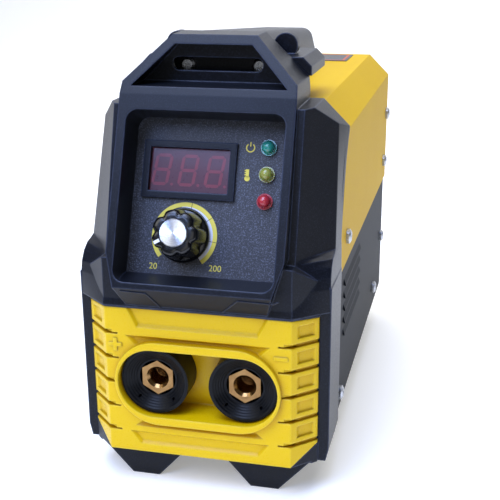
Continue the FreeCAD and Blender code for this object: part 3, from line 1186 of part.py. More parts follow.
def inside():
    floor_z = "(case_base + sheet)"
    board_z = f"({floor_z} + board_height)"
    start = f"({CASE_Y} + board_start)"
    board = box("board_blank", "-board_half", start, board_z, "board_half * 2", BOARD_LONG, "board_thick")
    spots = [(x, y) for x in ("-(board_half - 6)", "board_half - 6") for y in ("6", f"{BOARD_LONG} - 6")]
    holes = [cylinder("board_hole", "1.7", "10", x, f"{start} + {y}", f"{board_z} - 4") for x, y in spots]
    node(cut("main_board", board, fuse("board_holes", *holes)))
    node(group("standoffs", [
        cut("standoff", prism("standoff_post", 6, "3.6", "board_height", x, f"{start} + {y}", floor_z),
            cylinder("standoff_bore", "1.4", "20", x, f"{start} + {y}", f"{board_z} - 12"))
        for x, y in spots]))
    node(group("board_screws", [
        screw("board_screw", x, f"{start} + {y}", f"{board_z} + board_thick", "down", "8", "2.7", "6")
        for x, y in spots]))
    top = f"({board_z} + board_thick)"
    for side, sign in (("left", -1), ("right", 1)):
        base = box("sink_base", "0", "0", "0", "4", "92", "62")
        fins = [box("sink_fin", "3.9", "0", f"{k} * 7.2", "17", "92", "1.8") for k in range(9)]
        sink = fuse(f"heatsink_{side}", base, *fins)
        if sign > 0:
            place(sink, "28", f"{start} + 20", top)
        else:
            sink.Placement = FreeCAD.Placement(Vector(), Rotation(Vector(0, 0, 1), 180))
            bind(sink, Placement__Base__x="-28", Placement__Base__y=f"{start} + 112", Placement__Base__z=top)
        node(sink)
    modules = [box("module", f"{side}", f"{start} + {y}", f"{top}", 5, 16, 26)
               for side in ("-27.95", "22.95") for y in (26, 48, 70, 92)]
    node(group("power_modules", modules))
    node(group("capacitors", [
        cylinder("capacitor", "10.5", "46", x, f"{start} + {y}", top)
        for x in (-10.8, 10.8) for y in (24, 45.5)]))
    core = cut("core_ring", box("core_block", "-22", f"{start} + 64", top, 44, 40, 44),
               fuse("core_windows", box("core_window", "-15", f"{start} + 58", f"{top} + 8", 8, 60, 28),
                    box("core_window", "7", f"{start} + 58", f"{top} + 8", 8, 60, 28)))
    node(core, "transformer_core")
    coil = cut("coil", box("coil_block", "-14.5", f"{start} + 58", f"{top} + 8.5", 29, 52, 27),
               box("coil_core", "-7.1", f"{start} + 63.9", f"{top} + 7.5", 14.2, 40.2, 30))
    node(coil, "transformer_winding")
    ring_core = doc.addObject("Part::Torus", "choke_core")
    bind(ring_core, Radius1="12", Radius2="5.5")
    place(ring_core, 0, f"{start} + {BOARD_LONG} - 21", f"{top} + 5.5")
    node(ring_core, "output_choke")
    panel_board = box("control_board", "-36", "0", "0", 72, 72, "board_thick")
    on_plate(panel_board, x="-36", up="-34", out="-12.5 - plate - 1.7")
    node(panel_board)
    posts = []
    for x in (-33, 33):
        for up in (-31, 35):
            post = cylinder("board_post", "2.5", "12.45")
            posts.append(on_plate(post, x=x, up=up, out="-plate - 12.5"))
    node(group("board_posts", posts))


def socket_wiring():
    """Ring nuts that clamp the sockets, and the copper straps to the board."""
    back = f"({FACE_Y} + recess_floor + wall)"
    nuts = []
    for sign in (-1, 1):
        x = f"{sign} * socket_pitch / 2"
        ring_hex = prism("ring_hex", 6, "12.4", "5", x, f"{back} + 0.05", "socket_height", "rear")
        ring_bore = cylinder("ring_bore", "8.95", "20", x, f"{back} - 5", "socket_height", "rear")
        nuts.append(cut("ring_nut", ring_hex, ring_bore))
    node(group("socket_nuts", nuts))
    end = f"({CASE_Y} + board_start + 11)"
    low = "(case_base + sheet + board_height + board_thick + 0.05)"
    for side, sign in (("negative", 1), ("positive", -1)):
        x = f"{sign} * socket_pitch / 2"
        strap = box("strap_bar", f"{x} - 8", f"{back} + 12.5", low, 16, f"{end} - {back} - 12.5", 3)
        plate = box("strap_plate", f"{x} - 8", f"{back} + 12.5", low, 16, 3, f"socket_height + 10 - {low}")
        hole = cylinder("strap_hole", "insert_flats / 2 - 0.55", "20", x, f"{back} + 5",
                        "socket_height", "rear")
        node(cut(f"busbar_{side}", fuse("strap_solid", strap, plate), hole))


def case_screws():
    spots = [(y, z, "0") for y, z in UPPER_SCREWS] + [(y, z, "sheet + sheet_play") for y, z in LOWER_SCREWS]
    screws = []
    for sign, turn in ((1, "left"), (-1, "right")):
        for y, z, deep in spots:
            screws.append(screw("case_screw", f"{sign} * ({HALF} - ({deep}))", y, z, turn, "7"))
    node(group("case_screws", screws))


def labels():
    """A blank plate on top of the case."""
    node(box("top_label", "-40", f"{REAR_Y} - 41", "case_top", 80, 34, 0.4))


def build():
    front_bezel()
    socket_panel()
    socket("negative", 1)
    socket("positive", -1)
    control_plate()
    display()
    for index, name in enumerate(("lamp_red", "lamp_yellow", "lamp_green")):
        lamp(name, index)
    current_knob()
    potentiometer()
    case_cover()
    base_tray()
    handle()
    rear_bezel()
    rear_feet()
    rear_panel()
    fan()
    power_switch()
    cable_entry()
    inside()
    socket_wiring()
    case_screws()
    labels()


build()
doc.recompute()

for item in doc.Objects:
    if "Invalid" in item.State or "Error" in item.State:
        raise RuntimeError(f"{item.Label} ({item.Name}) failed: {item.State}")
for item in NODES:
    if item.Shape.isNull() or not item.Shape.isValid():
        raise RuntimeError(f"{item.Label} has no valid shape")
    item.Shape.exportStep(f"parts/{item.Label}.step")
    limits = item.Shape.BoundBox
    low = [round(v, 1) for v in (limits.XMin, limits.YMin, limits.ZMin)]
    high = [round(v, 1) for v in (limits.XMax, limits.YMax, limits.ZMax)]
    print(item.Label, len(item.Shape.Solids), low, high)
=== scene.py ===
# %% [markdown]
# # A stick welding inverter, from its CAD frame to a finished picture
# The welder's parts come from CAD with their true sizes and joints. This lesson gives each part the
# finish that it was made with, adds the printed and moulded details that CAD leaves out, and lights it.

# %% Load the frame
import json
import math

import bmesh
import bpy
from mathutils import Matrix, Vector


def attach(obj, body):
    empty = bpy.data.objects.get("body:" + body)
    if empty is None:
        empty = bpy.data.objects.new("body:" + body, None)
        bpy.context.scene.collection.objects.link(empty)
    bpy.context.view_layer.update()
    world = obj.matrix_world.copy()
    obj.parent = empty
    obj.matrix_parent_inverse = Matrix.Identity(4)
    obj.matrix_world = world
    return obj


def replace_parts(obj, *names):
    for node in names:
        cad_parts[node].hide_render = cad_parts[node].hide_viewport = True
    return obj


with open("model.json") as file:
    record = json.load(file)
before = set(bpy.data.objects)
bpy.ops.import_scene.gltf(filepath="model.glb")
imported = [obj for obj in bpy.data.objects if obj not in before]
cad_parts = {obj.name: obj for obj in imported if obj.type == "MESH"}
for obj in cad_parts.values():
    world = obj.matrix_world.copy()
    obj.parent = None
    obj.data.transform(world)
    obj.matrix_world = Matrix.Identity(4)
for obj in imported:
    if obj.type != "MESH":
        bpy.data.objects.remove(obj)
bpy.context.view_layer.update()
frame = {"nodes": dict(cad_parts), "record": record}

MM = 0.001
parts = frame["nodes"]
print("parts in the frame:", len(parts))

# %% [markdown]
# ## The camera
# The machine is seen from the front, a little from its right and from above, with a short telephoto
# lens. The camera comes first, because every later choice of detail depends on what it can see.

# %% Place the camera
CAMERA_AT = Vector((0.1289, -0.5649, 0.2763))
CAMERA_TURN, CAMERA_TILT, CAMERA_ROLL = 13.45, 71.8, -0.34
lens = bpy.data.cameras.new("studio_camera")
lens.lens = 70.0
lens.sensor_width = 36.0
camera = bpy.data.objects.new("studio_camera", lens)
bpy.context.scene.collection.objects.link(camera)
turn = (
    Matrix.Rotation(math.radians(CAMERA_TURN), 4, "Z")
    @ Matrix.Rotation(math.radians(CAMERA_TILT), 4, "X")
    @ Matrix.Rotation(math.radians(CAMERA_ROLL), 4, "Z")
)
camera.matrix_world = Matrix.Translation(CAMERA_AT) @ turn
bpy.context.scene.camera = camera
print("camera at", [round(value, 3) for value in camera.location])

# %% [markdown]
# ## Small helpers
# Colours are written as the hex values a designer would use and turned into the linear values that
# Cycles mixes. One function adds a shader or geometry node, sets it and links it, so each tree below
# reads as a list of steps.


# %% Colour and node helpers
def tint(code):
    """A colour from its sRGB hex code, in linear values."""
    values = [int(code[i : i + 2], 16) / 255 for i in (1, 3, 5)]
    return [v / 12.92 if v <= 0.04045 else ((v + 0.055) / 1.055) ** 2.4 for v in values] + [1.0]


def add(tree, kind, inputs=None, **settings):
    """Add a node. Each input is given a value, an output, or a node, whose first live output is used."""
    made = tree.nodes.new(kind)
    for name, value in settings.items():
        setattr(made, name, value)
    for key, value in (inputs or {}).items():
        if isinstance(value, bpy.types.Node):
            value = next(output for output in value.outputs if output.enabled)
        if isinstance(value, bpy.types.NodeSocket):
            tree.links.new(value, made.inputs[key])
        else:
            made.inputs[key].default_value = value
    return made


def new_finish(name, **shader):
    """A material with one principled shader, and the object's own coordinates."""
    material = bpy.data.materials.new(name)
    material.use_nodes = True
    tree = material.node_tree
    tree.nodes.clear()
    inputs = {key.replace("_", " "): value for key, value in shader.items()}
    surface = add(tree, "ShaderNodeBsdfPrincipled", inputs)
    add(tree, "ShaderNodeOutputMaterial", {"Surface": surface})
    place = add(tree, "ShaderNodeTexCoord").outputs["Object"]
    return material, tree, surface, place


# A Mix node has sockets of the same names for each kind of data, so its colours go by number.
MIX_A, MIX_B, MIX_OUT = 6, 7, 2
# Most values of a noise lie in this range.
NOISE_RANGE = {"From Min": 0.3, "From Max": 0.7}


print("black plastic in linear values:", [round(v, 4) for v in tint("#2b2d34")])

# %% [markdown]
# ## Moulded plastic
# The hood, handle and ends are ABS. It is moulded in a spark-eroded tool, which leaves a fine grain
# that softens reflections. Edges turn a little lighter, partly as wear from hands and benches and partly as
# a painted highlight. The Bevel node finds those edges: where the rounded normal leaves the true one, there
# is an edge. Where a shade tone is given, narrow hollows, which little light reaches, darken towards it as
# painted shade.


# %% Build a moulded plastic
# Features to the metre: clouds of tone about 45 mm across, and rubbed patches about 6 mm across.
CLOUD_SCALE, PATCH_SCALE = 22.0, 160.0
# The cosine between the rounded and the true normal, where the lighter edge, partly wear and partly painted
# highlight, starts and where it is full.
EDGE_LIGHT_STARTS, EDGE_LIGHT_FULL = 0.995, 0.86
# The height of the grain, between 0 and 1, where its lighter tips start and where they are full.
TIP_STARTS, TIP_FULL = 0.52, 0.63
# How far a hollow is felt, how open it is where its painted shade starts and where it is full, and the
# painted shade's full share.
SHADE_REACH, SHADE_STARTS, SHADE_FULL, SHADE_SHARE = 7.0 * MM, 0.92, 0.4, 0.75


def moulded(name, tone, deep, rough, grain_mm, grain_height_mm, edge_mm, rub_and_highlight_tone, wear_and_highlight=0.5, speck=0.0,
            painted_shade_tone=None, **shader):
    """Plastic from a textured tool: grain, cloudy tone, edges lightened by wear and painted highlight,
    lighter grain tips, painted shade in hollows.
    """
    material, tree, surface, place = new_finish(name, **shader)
    cloud = add(tree, "ShaderNodeTexNoise", {"Vector": place, "Scale": CLOUD_SCALE, "Detail": 4.0})
    clouded = add(tree, "ShaderNodeMix", {
        "Factor": cloud, MIX_A: tint(deep), MIX_B: tint(tone)}, data_type="RGBA")
    rounded = add(tree, "ShaderNodeBevel", {"Radius": edge_mm * MM}, samples=6)
    flat = add(tree, "ShaderNodeNewGeometry").outputs["Normal"]
    along = add(tree, "ShaderNodeVectorMath", {0: rounded, 1: flat}, operation="DOT_PRODUCT")
    patches = add(tree, "ShaderNodeTexNoise", {"Vector": place, "Scale": PATCH_SCALE, "Detail": 5.0})
    # Painted highlight and wear: edges that the Bevel node finds are lightened towards the edge tone in
    # broken patches.
    edge = add(tree, "ShaderNodeMapRange", {
        "Value": along, "From Min": EDGE_LIGHT_STARTS, "From Max": EDGE_LIGHT_FULL, "To Min": 0.0, "To Max": wear_and_highlight})
    broken = add(tree, "ShaderNodeMath", {0: edge, 1: patches}, operation="MULTIPLY")
    colour = add(tree, "ShaderNodeMix", {
        "Factor": broken, MIX_A: clouded, MIX_B: tint(rub_and_highlight_tone)}, data_type="RGBA")
    grain = add(tree, "ShaderNodeTexNoise", {"Vector": place, "Scale": 1 / (grain_mm * MM), "Detail": 3.0})
    tips = add(tree, "ShaderNodeMapRange", {
        "Value": grain, "From Min": TIP_STARTS, "From Max": TIP_FULL, "To Min": 0.0, "To Max": speck})
    colour = add(tree, "ShaderNodeMix", {
        "Factor": tips, MIX_A: colour, MIX_B: tint(rub_and_highlight_tone)}, data_type="RGBA")
    # Painted shade: narrow hollows that ambient occlusion finds are darkened towards the shade tone.
    if painted_shade_tone:
        open_sky = add(tree, "ShaderNodeAmbientOcclusion", {"Distance": SHADE_REACH}, samples=8)
        hollow = add(tree, "ShaderNodeMapRange", {
            "Value": open_sky.outputs["AO"], "From Min": SHADE_STARTS, "From Max": SHADE_FULL,
            "To Min": 0.0, "To Max": SHADE_SHARE})
        colour = add(tree, "ShaderNodeMix", {
            "Factor": hollow, MIX_A: colour, MIX_B: tint(painted_shade_tone)}, data_type="RGBA")
    tree.links.new(colour.outputs[MIX_OUT], surface.inputs["Base Color"])
    gloss = add(tree, "ShaderNodeMapRange", {
        "Value": grain, **NOISE_RANGE, "To Min": rough - 0.05, "To Max": rough + 0.06})
    tree.links.new(gloss.outputs["Result"], surface.inputs["Roughness"])
    bump = add(tree, "ShaderNodeBump", {
        "Height": grain, "Distance": grain_height_mm * MM, "Strength": 0.6, "Normal": rounded})
    tree.links.new(bump.outputs["Normal"], surface.inputs["Normal"])
    return material


# Each edge tone below lightens the edges as wear and also paints a highlight along them.
black_abs = moulded(
    "moulded_black_abs", "#10131a", "#0c0e14", rough=0.34, grain_mm=0.6, grain_height_mm=0.04, edge_mm=1.2,
    rub_and_highlight_tone="#5f6a86", wear_and_highlight=0.8, speck=0.06, IOR=1.53, Specular_IOR_Level=0.18)
# The yellow's darker hollow tone is painted shade in its grooves and recesses.
yellow_abs = moulded(
    "moulded_yellow_abs", "#ebc406", "#e1b904", rough=0.3, grain_mm=0.8, grain_height_mm=0.02, edge_mm=1.6,
    rub_and_highlight_tone="#f8e14a", wear_and_highlight=0.9, painted_shade_tone="#b07c00", IOR=1.53, Specular_IOR_Level=0.22)
panel_grain = moulded(
    "coarse_grained_black_abs", "#23262f", "#191c24", rough=0.46, grain_mm=0.55, grain_height_mm=0.16,
    edge_mm=0.5, rub_and_highlight_tone="#8088a0", wear_and_highlight=0.3, speck=0.4, IOR=1.53)
gloss_black = moulded(
    "polished_black_phenolic", "#0b0c0f", "#08090b", rough=0.22, grain_mm=1.2, grain_height_mm=0.004,
    edge_mm=0.4, rub_and_highlight_tone="#4a4e57", IOR=1.5)
print("plastics:", black_abs.name, yellow_abs.name, panel_grain.name, gloss_black.name)

# %% [markdown]
# ## Ringed phenolic
# The sockets' insulators are pressed phenolic, faced on a lathe, so fine rings run round each axis. The
# two axes are mirror images, so the side is folded over with an absolute value and one pattern serves
# both. A sine of the distance from the axis gives the rings, one every 1.1 mm.

# %% Build the ringed phenolic
SOCKET_X, SOCKET_Z, RING_PITCH, RING_DEEP = 23.0 * MM, 58.7 * MM, 1.1 * MM, 0.06 * MM
# A haze of wear on the faces, about 4 mm from patch to patch.
HAZE_SCALE = 260.0
ringed, tree, surface, place = new_finish(
    "ringed_black_phenolic", IOR=1.5, Roughness=0.36, Specular_IOR_Level=0.16)
axes = add(tree, "ShaderNodeSeparateXYZ", {"Vector": place})
folded = add(tree, "ShaderNodeMath", {0: axes.outputs["X"]}, operation="ABSOLUTE")
across = add(tree, "ShaderNodeMath", {0: folded, 1: SOCKET_X}, operation="SUBTRACT")
above = add(tree, "ShaderNodeMath", {0: axes.outputs["Z"], 1: SOCKET_Z}, operation="SUBTRACT")
spoke = add(tree, "ShaderNodeCombineXYZ", {"X": across, "Y": above})
reach = add(tree, "ShaderNodeVectorMath", {0: spoke}, operation="LENGTH")
phase = add(tree, "ShaderNodeMath", {0: reach, 1: math.tau / RING_PITCH}, operation="MULTIPLY")
wave = add(tree, "ShaderNodeMath", {0: phase}, operation="SINE")
haze = add(tree, "ShaderNodeTexNoise", {"Vector": place, "Scale": HAZE_SCALE, "Detail": 4.0})
ring_tone = add(tree, "ShaderNodeMix", {
    "Factor": haze, MIX_A: tint("#060709"), MIX_B: tint("#0f1115")}, data_type="RGBA")
tree.links.new(ring_tone.outputs[MIX_OUT], surface.inputs["Base Color"])
ring_bump = add(tree, "ShaderNodeBump", {"Height": wave, "Distance": RING_DEEP, "Strength": 0.8})
tree.links.new(ring_bump.outputs["Normal"], surface.inputs["Normal"])
print("rings every", round(RING_PITCH / MM, 2), "mm")

# %% [markdown]
# ## Powder coat
# The case is folded sheet steel, sprayed with polyester powder and baked. The powder melts into a skin
# with a faint orange peel, about two millimetres from dimple to dimple, and keeps a soft shine.


# %% Build a powder coat
# Features to the metre: clouds of tone 70 mm across, orange peel of 2 mm and specks of half a millimetre.
PAINT_CLOUD_SCALE, PEEL_SCALE, SPECK_SCALE = 14.0, 480.0, 2200.0
PEEL_DEEP, FOLD_RADIUS = 0.03 * MM, 0.6 * MM


def powder_coat(name, tone, deep, rough):
    """Sprayed and baked powder on sheet steel."""
    material, tree, surface, place = new_finish(name, IOR=1.5, Specular_IOR_Level=0.06)
    cloud = add(tree, "ShaderNodeTexNoise", {"Vector": place, "Scale": PAINT_CLOUD_SCALE, "Detail": 5.0})
    colour = add(tree, "ShaderNodeMix", {
        "Factor": cloud, MIX_A: tint(deep), MIX_B: tint(tone)}, data_type="RGBA")
    tree.links.new(colour.outputs[MIX_OUT], surface.inputs["Base Color"])
    rounded = add(tree, "ShaderNodeBevel", {"Radius": FOLD_RADIUS}, samples=6)
    peel = add(tree, "ShaderNodeTexNoise", {"Vector": place, "Scale": PEEL_SCALE, "Detail": 2.0})
    speck = add(tree, "ShaderNodeTexNoise", {"Vector": place, "Scale": SPECK_SCALE, "Detail": 2.0})
    gloss = add(tree, "ShaderNodeMapRange", {
        "Value": speck, **NOISE_RANGE, "To Min": rough - 0.04, "To Max": rough + 0.06})
    tree.links.new(gloss.outputs["Result"], surface.inputs["Roughness"])
    bump = add(tree, "ShaderNodeBump", {
        "Height": peel, "Distance": PEEL_DEEP, "Strength": 0.5, "Normal": rounded})
    tree.links.new(bump.outputs["Normal"], surface.inputs["Normal"])
    return material


yellow_paint = powder_coat("yellow_powder_coat", "#d8b008", "#cba004", 0.5)
black_paint = powder_coat("black_powder_coat", "#14171e", "#0f1217", 0.5)
print("powder coats:", yellow_paint.name, black_paint.name)

# %% [markdown]
# ## Metals
# The sockets' inserts and the screws are turned on a lathe, which leaves rings round the axis. The
# heatsinks are extruded, so their lines run along the bar. Every metal keeps the shader's own index of
# refraction, and only its colour, roughness and tool marks change.


# %% Build a machined metal
# Tarnish about 3 mm from patch to patch, and how deep the tool marks and how round the edges are.
TARNISH_SCALE, MARK_DEEP, BROKEN_EDGE = 300.0, 0.01 * MM, 0.25 * MM


def machined(name, tone, deep, rough, line_mm, stretch, metallic=1.0):
    """Bare metal with fine tool lines. The stretch squeezes the noise into lines along one axis."""
    material, tree, surface, place = new_finish(name, Metallic=metallic)
    stretched = add(tree, "ShaderNodeMapping", {"Vector": place, "Scale": stretch})
    cloud = add(tree, "ShaderNodeTexNoise", {"Vector": place, "Scale": TARNISH_SCALE, "Detail": 4.0})
    colour = add(tree, "ShaderNodeMix", {
        "Factor": cloud, MIX_A: tint(deep), MIX_B: tint(tone)}, data_type="RGBA")
    tree.links.new(colour.outputs[MIX_OUT], surface.inputs["Base Color"])
    lines = add(tree, "ShaderNodeTexNoise", {"Vector": stretched, "Scale": 1 / (line_mm * MM), "Detail": 3.0})
    gloss = add(tree, "ShaderNodeMapRange", {
        "Value": lines, **NOISE_RANGE, "To Min": rough - 0.06, "To Max": rough + 0.08})
    tree.links.new(gloss.outputs["Result"], surface.inputs["Roughness"])
    rounded = add(tree, "ShaderNodeBevel", {"Radius": BROKEN_EDGE}, samples=4)
    bump = add(tree, "ShaderNodeBump", {
        "Height": lines, "Distance": MARK_DEEP, "Strength": 0.5, "Normal": rounded})
    tree.links.new(bump.outputs["Normal"], surface.inputs["Normal"])
    return material


brass = machined("turned_brass", "#a98657", "#70502e", 0.2, 0.5, (1.0, 6.0, 1.0))
zinc = machined("bright_zinc_plate", "#c9ccd1", "#a6a9af", 0.28, 0.4, (1.0, 1.0, 1.0))
copper = machined("rolled_copper", "#c5764e", "#a85c3a", 0.36, 0.5, (6.0, 1.0, 6.0))
extruded = machined("extruded_aluminium", "#b9bcc1", "#a2a5aa", 0.4, 0.5, (8.0, 1.0, 8.0))
ground_ferrite = machined("ground_ferrite", "#3b3b3f", "#2d2d30", 0.5, 0.6, (1.0, 1.0, 1.0), 0.4)
print("metals:", brass.name, zinc.name, copper.name, extruded.name, ground_ferrite.name)

# %% [markdown]
# ## Where the control plate stands
# The plate with the meter, lamps and knob leans back with the hood. Its details are drawn flat, with x
# to the right and y up the plate, and one matrix lays them on it. The knob's own frame is the same
# matrix, moved to the shaft.

# %% Find the plate's frame
LEAN = math.radians(21.7)
dial_joint = next(joint for joint in frame["record"]["behaviour"]["joints"] if joint["name"] == "knob_turn")
KNOB_CENTRE = Vector(dial_joint["pos_m"])
OUT = Vector((0, -math.cos(LEAN), math.sin(LEAN)))
UP = Vector((0, math.sin(LEAN), math.cos(LEAN)))
RIGHT = Vector((1, 0, 0))
PLATE_TURN = Matrix((RIGHT, UP, OUT)).transposed().to_4x4()
AT_KNOB = Matrix.Translation(KNOB_CENTRE) @ PLATE_TURN
# The plate's own origin is on its middle line, at the lower edge of the meter.
KNOB_X, KNOB_UP = -11.2 * MM, -18.6 * MM
AT_PLATE = AT_KNOB @ Matrix.Translation(Vector((-KNOB_X, -KNOB_UP, 0)))
print("knob centre", [round(v, 4) for v in KNOB_CENTRE])
print("plate origin", [round(v, 4) for v in AT_PLATE.translation])

# %% [markdown]
# ## A finish for every part
# Inside the case there are glass fibre boards under green solder mask, copper windings dipped in amber
# varnish and components in dark sleeves. They are hardly seen, so the moulded plastic serves for them
# too, with other colours and grains. One table then says which material each part of the frame has.

# %% Give the frame's parts their finishes
# The numbers of each one are its roughness, its grain's size and height, its edge and how much its edge
# lightens, partly as wear and partly as painted highlight.
circuit = moulded("green_solder_mask", "#14502a", "#0f3f21", 0.35, 3.0, 0.03, 0.2, "#2f7a48", 0.3, IOR=1.5)
varnish = moulded("amber_winding_varnish", "#9a4f1c", "#7c3c12", 0.4, 1.0, 0.06, 0.3, "#c27a3c", 0.5, IOR=1.5)
sleeve = moulded("dark_shrink_sleeve", "#23242c", "#1a1b22", 0.35, 1.0, 0.01, 0.4, "#444650", 0.4, IOR=1.5)
film = moulded("dark_label_film", "#34343a", "#2b2b31", 0.4, 1.0, 0.004, 0.1, "#4c4c53", 0.3, IOR=1.5)
white_ink = moulded("white_filled_paint", "#eef0f0", "#e2e5e6", 0.45, 0.6, 0.01, 0.1, "#ffffff", 0.2, IOR=1.5)

FINISHES = {
    black_abs: ["front_bezel", "handle", "rear_bezel", "rear_feet", "display_bezel", "cable_gland",
                "gland_nut"],
    yellow_abs: ["socket_panel"],
    panel_grain: ["control_panel"],
    gloss_black: ["current_knob", "fan_frame", "fan_rotor", "power_switch", "power_rocker"],
    ringed: ["socket_body_negative", "socket_body_positive"],
    yellow_paint: ["case_cover"],
    black_paint: ["base_tray", "rear_panel"],
    brass: ["socket_insert_negative", "socket_insert_positive", "earth_stud", "standoffs", "socket_nuts"],
    zinc: ["handle_screws", "panel_screws", "fan_guard", "fan_screws", "case_screws", "board_screws",
           "potentiometer", "board_posts"],
    copper: ["busbar_negative", "busbar_positive"],
    extruded: ["heatsink_left", "heatsink_right", "potentiometer_shaft"],
    ground_ferrite: ["transformer_core"],
    circuit: ["main_board", "control_board"],
    varnish: ["transformer_winding", "output_choke"],
    sleeve: ["power_modules", "capacitors", "display_digits"],
    film: ["top_label"],
    white_ink: ["knob_pointer"],
}


def dress(name, material):
    """Give every slot of a part one material."""
    for slot in parts[name].material_slots:
        slot.material = material


for material, names in FINISHES.items():
    for name in names:
        dress(name, material)
print("parts dressed:", sum(len(names) for names in FINISHES.values()))

# %% [markdown]
# ## The spun cap on the knob
# The cap is aluminium spun on a lathe, so its scratches are circles round the shaft. Light from them
# fans into a bow tie. The same thing happens here when the shader's tangent runs round the knob's own
# axis, which is the cross product of the axis with the way out to each point.

# %% Build the spun aluminium
# The circles are a quarter of a millimetre apart, which is as fine as shows here.
CIRCLE_SCALE = 4200.0
spun, tree, surface, place = new_finish(
    "spun_aluminium", Metallic=1.0, Anisotropic=0.85, Base_Color=tint("#f0f2f5"))
from_axis = add(tree, "ShaderNodeVectorMath", {0: place, 1: tuple(KNOB_CENTRE)}, operation="SUBTRACT")
around = add(tree, "ShaderNodeVectorMath", {0: tuple(OUT), 1: from_axis}, operation="CROSS_PRODUCT")
unit = add(tree, "ShaderNodeVectorMath", {0: around}, operation="NORMALIZE")
tree.links.new(unit.outputs["Vector"], surface.inputs["Tangent"])
radius = add(tree, "ShaderNodeVectorMath", {0: around}, operation="LENGTH")
rings = add(tree, "ShaderNodeTexNoise", {
    "W": radius, "Scale": CIRCLE_SCALE, "Detail": 2.0}, noise_dimensions="1D")
spin_gloss = add(tree, "ShaderNodeMapRange", {"Value": rings, **NOISE_RANGE, "To Min": 0.24, "To Max": 0.38})
tree.links.new(spin_gloss.outputs["Result"], surface.inputs["Roughness"])
dress("knob_cap", spun)
print("spun cap finished")

# %% [markdown]
# ## Lamps and meter window
# The pilot lamps are coloured polystyrene lenses over unlit light-emitting diodes, and the meter's
# window is a smoked red acrylic sheet. Unlit, each one shows its own dye under a clear shiny skin, a
# little deeper where it is looked through edge on and the way through the plastic is longer.


# %% Build a dyed lens
# Clouds in the dye about 8 mm across, and dust on the skin about 1 mm apart.
DYE_SCALE, DUST_SCALE = 120.0, 900.0


def dyed(name, tone, deep, rough, skin=0.6):
    """Clear plastic with dye in it, seen unlit, under a shiny skin."""
    material, tree, surface, place = new_finish(
        name, IOR=1.45, Coat_Weight=skin, Coat_Roughness=0.06, Subsurface_Weight=0.35, Subsurface_Scale=0.002)
    cloud = add(tree, "ShaderNodeTexNoise", {"Vector": place, "Scale": DYE_SCALE, "Detail": 3.0})
    inside = add(tree, "ShaderNodeMix", {
        "Factor": cloud, MIX_A: tint(deep), MIX_B: tint(tone)}, data_type="RGBA")
    facing = add(tree, "ShaderNodeLayerWeight", {"Blend": 0.4}).outputs["Facing"]
    dye = add(tree, "ShaderNodeMix", {
        "Factor": facing, MIX_A: inside, MIX_B: tint(deep)}, data_type="RGBA")
    tree.links.new(dye.outputs[MIX_OUT], surface.inputs["Base Color"])
    dust = add(tree, "ShaderNodeTexNoise", {"Vector": place, "Scale": DUST_SCALE, "Detail": 3.0})
    gloss = add(tree, "ShaderNodeMapRange", {
        "Value": dust, **NOISE_RANGE, "To Min": rough - 0.04, "To Max": rough + 0.08})
    tree.links.new(gloss.outputs["Result"], surface.inputs["Roughness"])
    return material


dress("lamp_red", dyed("dyed_red_lens", "#d8414b", "#8e1f2c", 0.2))
dress("lamp_yellow", dyed("dyed_olive_lens", "#b9bd62", "#7c8032", 0.2))
dress("lamp_green", dyed("dyed_green_lens", "#3fb3a2", "#1c6a60", 0.2))
window_red = dyed("smoked_red_acrylic", "#571d2c", "#431422", 0.3, 0.1)
dress("display_window", window_red)
segment_red = dyed("unlit_red_segment", "#8c303f", "#782635", 0.34, 0.1)
print("lenses and window finished")

# %% [markdown]
# ## The meter's digits
# Three unlit seven-segment digits show faintly through the window. They lean a little, as the digits of
# such meters do. One digit is a list of short bars, and a Geometry Nodes tree repeats it along the meter.

# %% Helpers for thin flat pieces


def finished(name, mesh, material, body="machine"):
    """Put a finished mesh in the scene at the origin, dressed and riding on its body."""
    piece = bpy.data.objects.new(name, mesh)
    bpy.context.scene.collection.objects.link(piece)
    if not mesh.materials:
        mesh.materials.append(material)
    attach(piece, body)
    return piece


def rectangle(left, low, right, high):
    """The outline of a rectangle from two opposite corners."""
    return [(left, low), (right, low), (right, high), (left, high)]


def disc_outline(radius, count, x=0.0, y=0.0):
    """The outline of a disc about a spot."""
    angles = [math.tau * k / count for k in range(count)]
    return [(x + radius * math.cos(a), y + radius * math.sin(a)) for a in angles]


def flat_mesh(name, shapes, thick, frame_matrix):
    """Closed thin plates from outlines in a flat frame, standing on its plane."""
    mesh = bpy.data.meshes.new(name)
    form = bmesh.new()
    for outline in shapes:
        low = [form.verts.new((x, y, 0)) for x, y in outline]
        high = [form.verts.new((x, y, thick)) for x, y in outline]
        form.faces.new(high)
        form.faces.new(list(reversed(low)))
        for k in range(len(outline)):
            following = (k + 1) % len(outline)
            form.faces.new((low[k], low[following], high[following], high[k]))
    bmesh.ops.recalc_face_normals(form, faces=form.faces)
    form.transform(frame_matrix)
    form.to_mesh(mesh)
    form.free()
    return mesh


def bake_tree(piece_name, source_mesh, tree, sizes, matrix):
    """Run a geometry tree on a mesh and keep its result as a plain mesh in its place."""
    holder = bpy.data.objects.new(piece_name + "_holder", source_mesh)
    bpy.context.scene.collection.objects.link(holder)
    modifier = holder.modifiers.new("tree", "NODES")
    modifier.node_group = tree
    for item in tree.interface.items_tree:
        if item.item_type == "SOCKET" and item.in_out == "INPUT" and item.name in sizes:
            modifier[item.identifier] = sizes[item.name]
    ready = holder.evaluated_get(bpy.context.evaluated_depsgraph_get())
    mesh = bpy.data.meshes.new_from_object(ready)
    mesh.transform(matrix)
    mesh.name = piece_name
    bpy.data.objects.remove(holder)
    return mesh


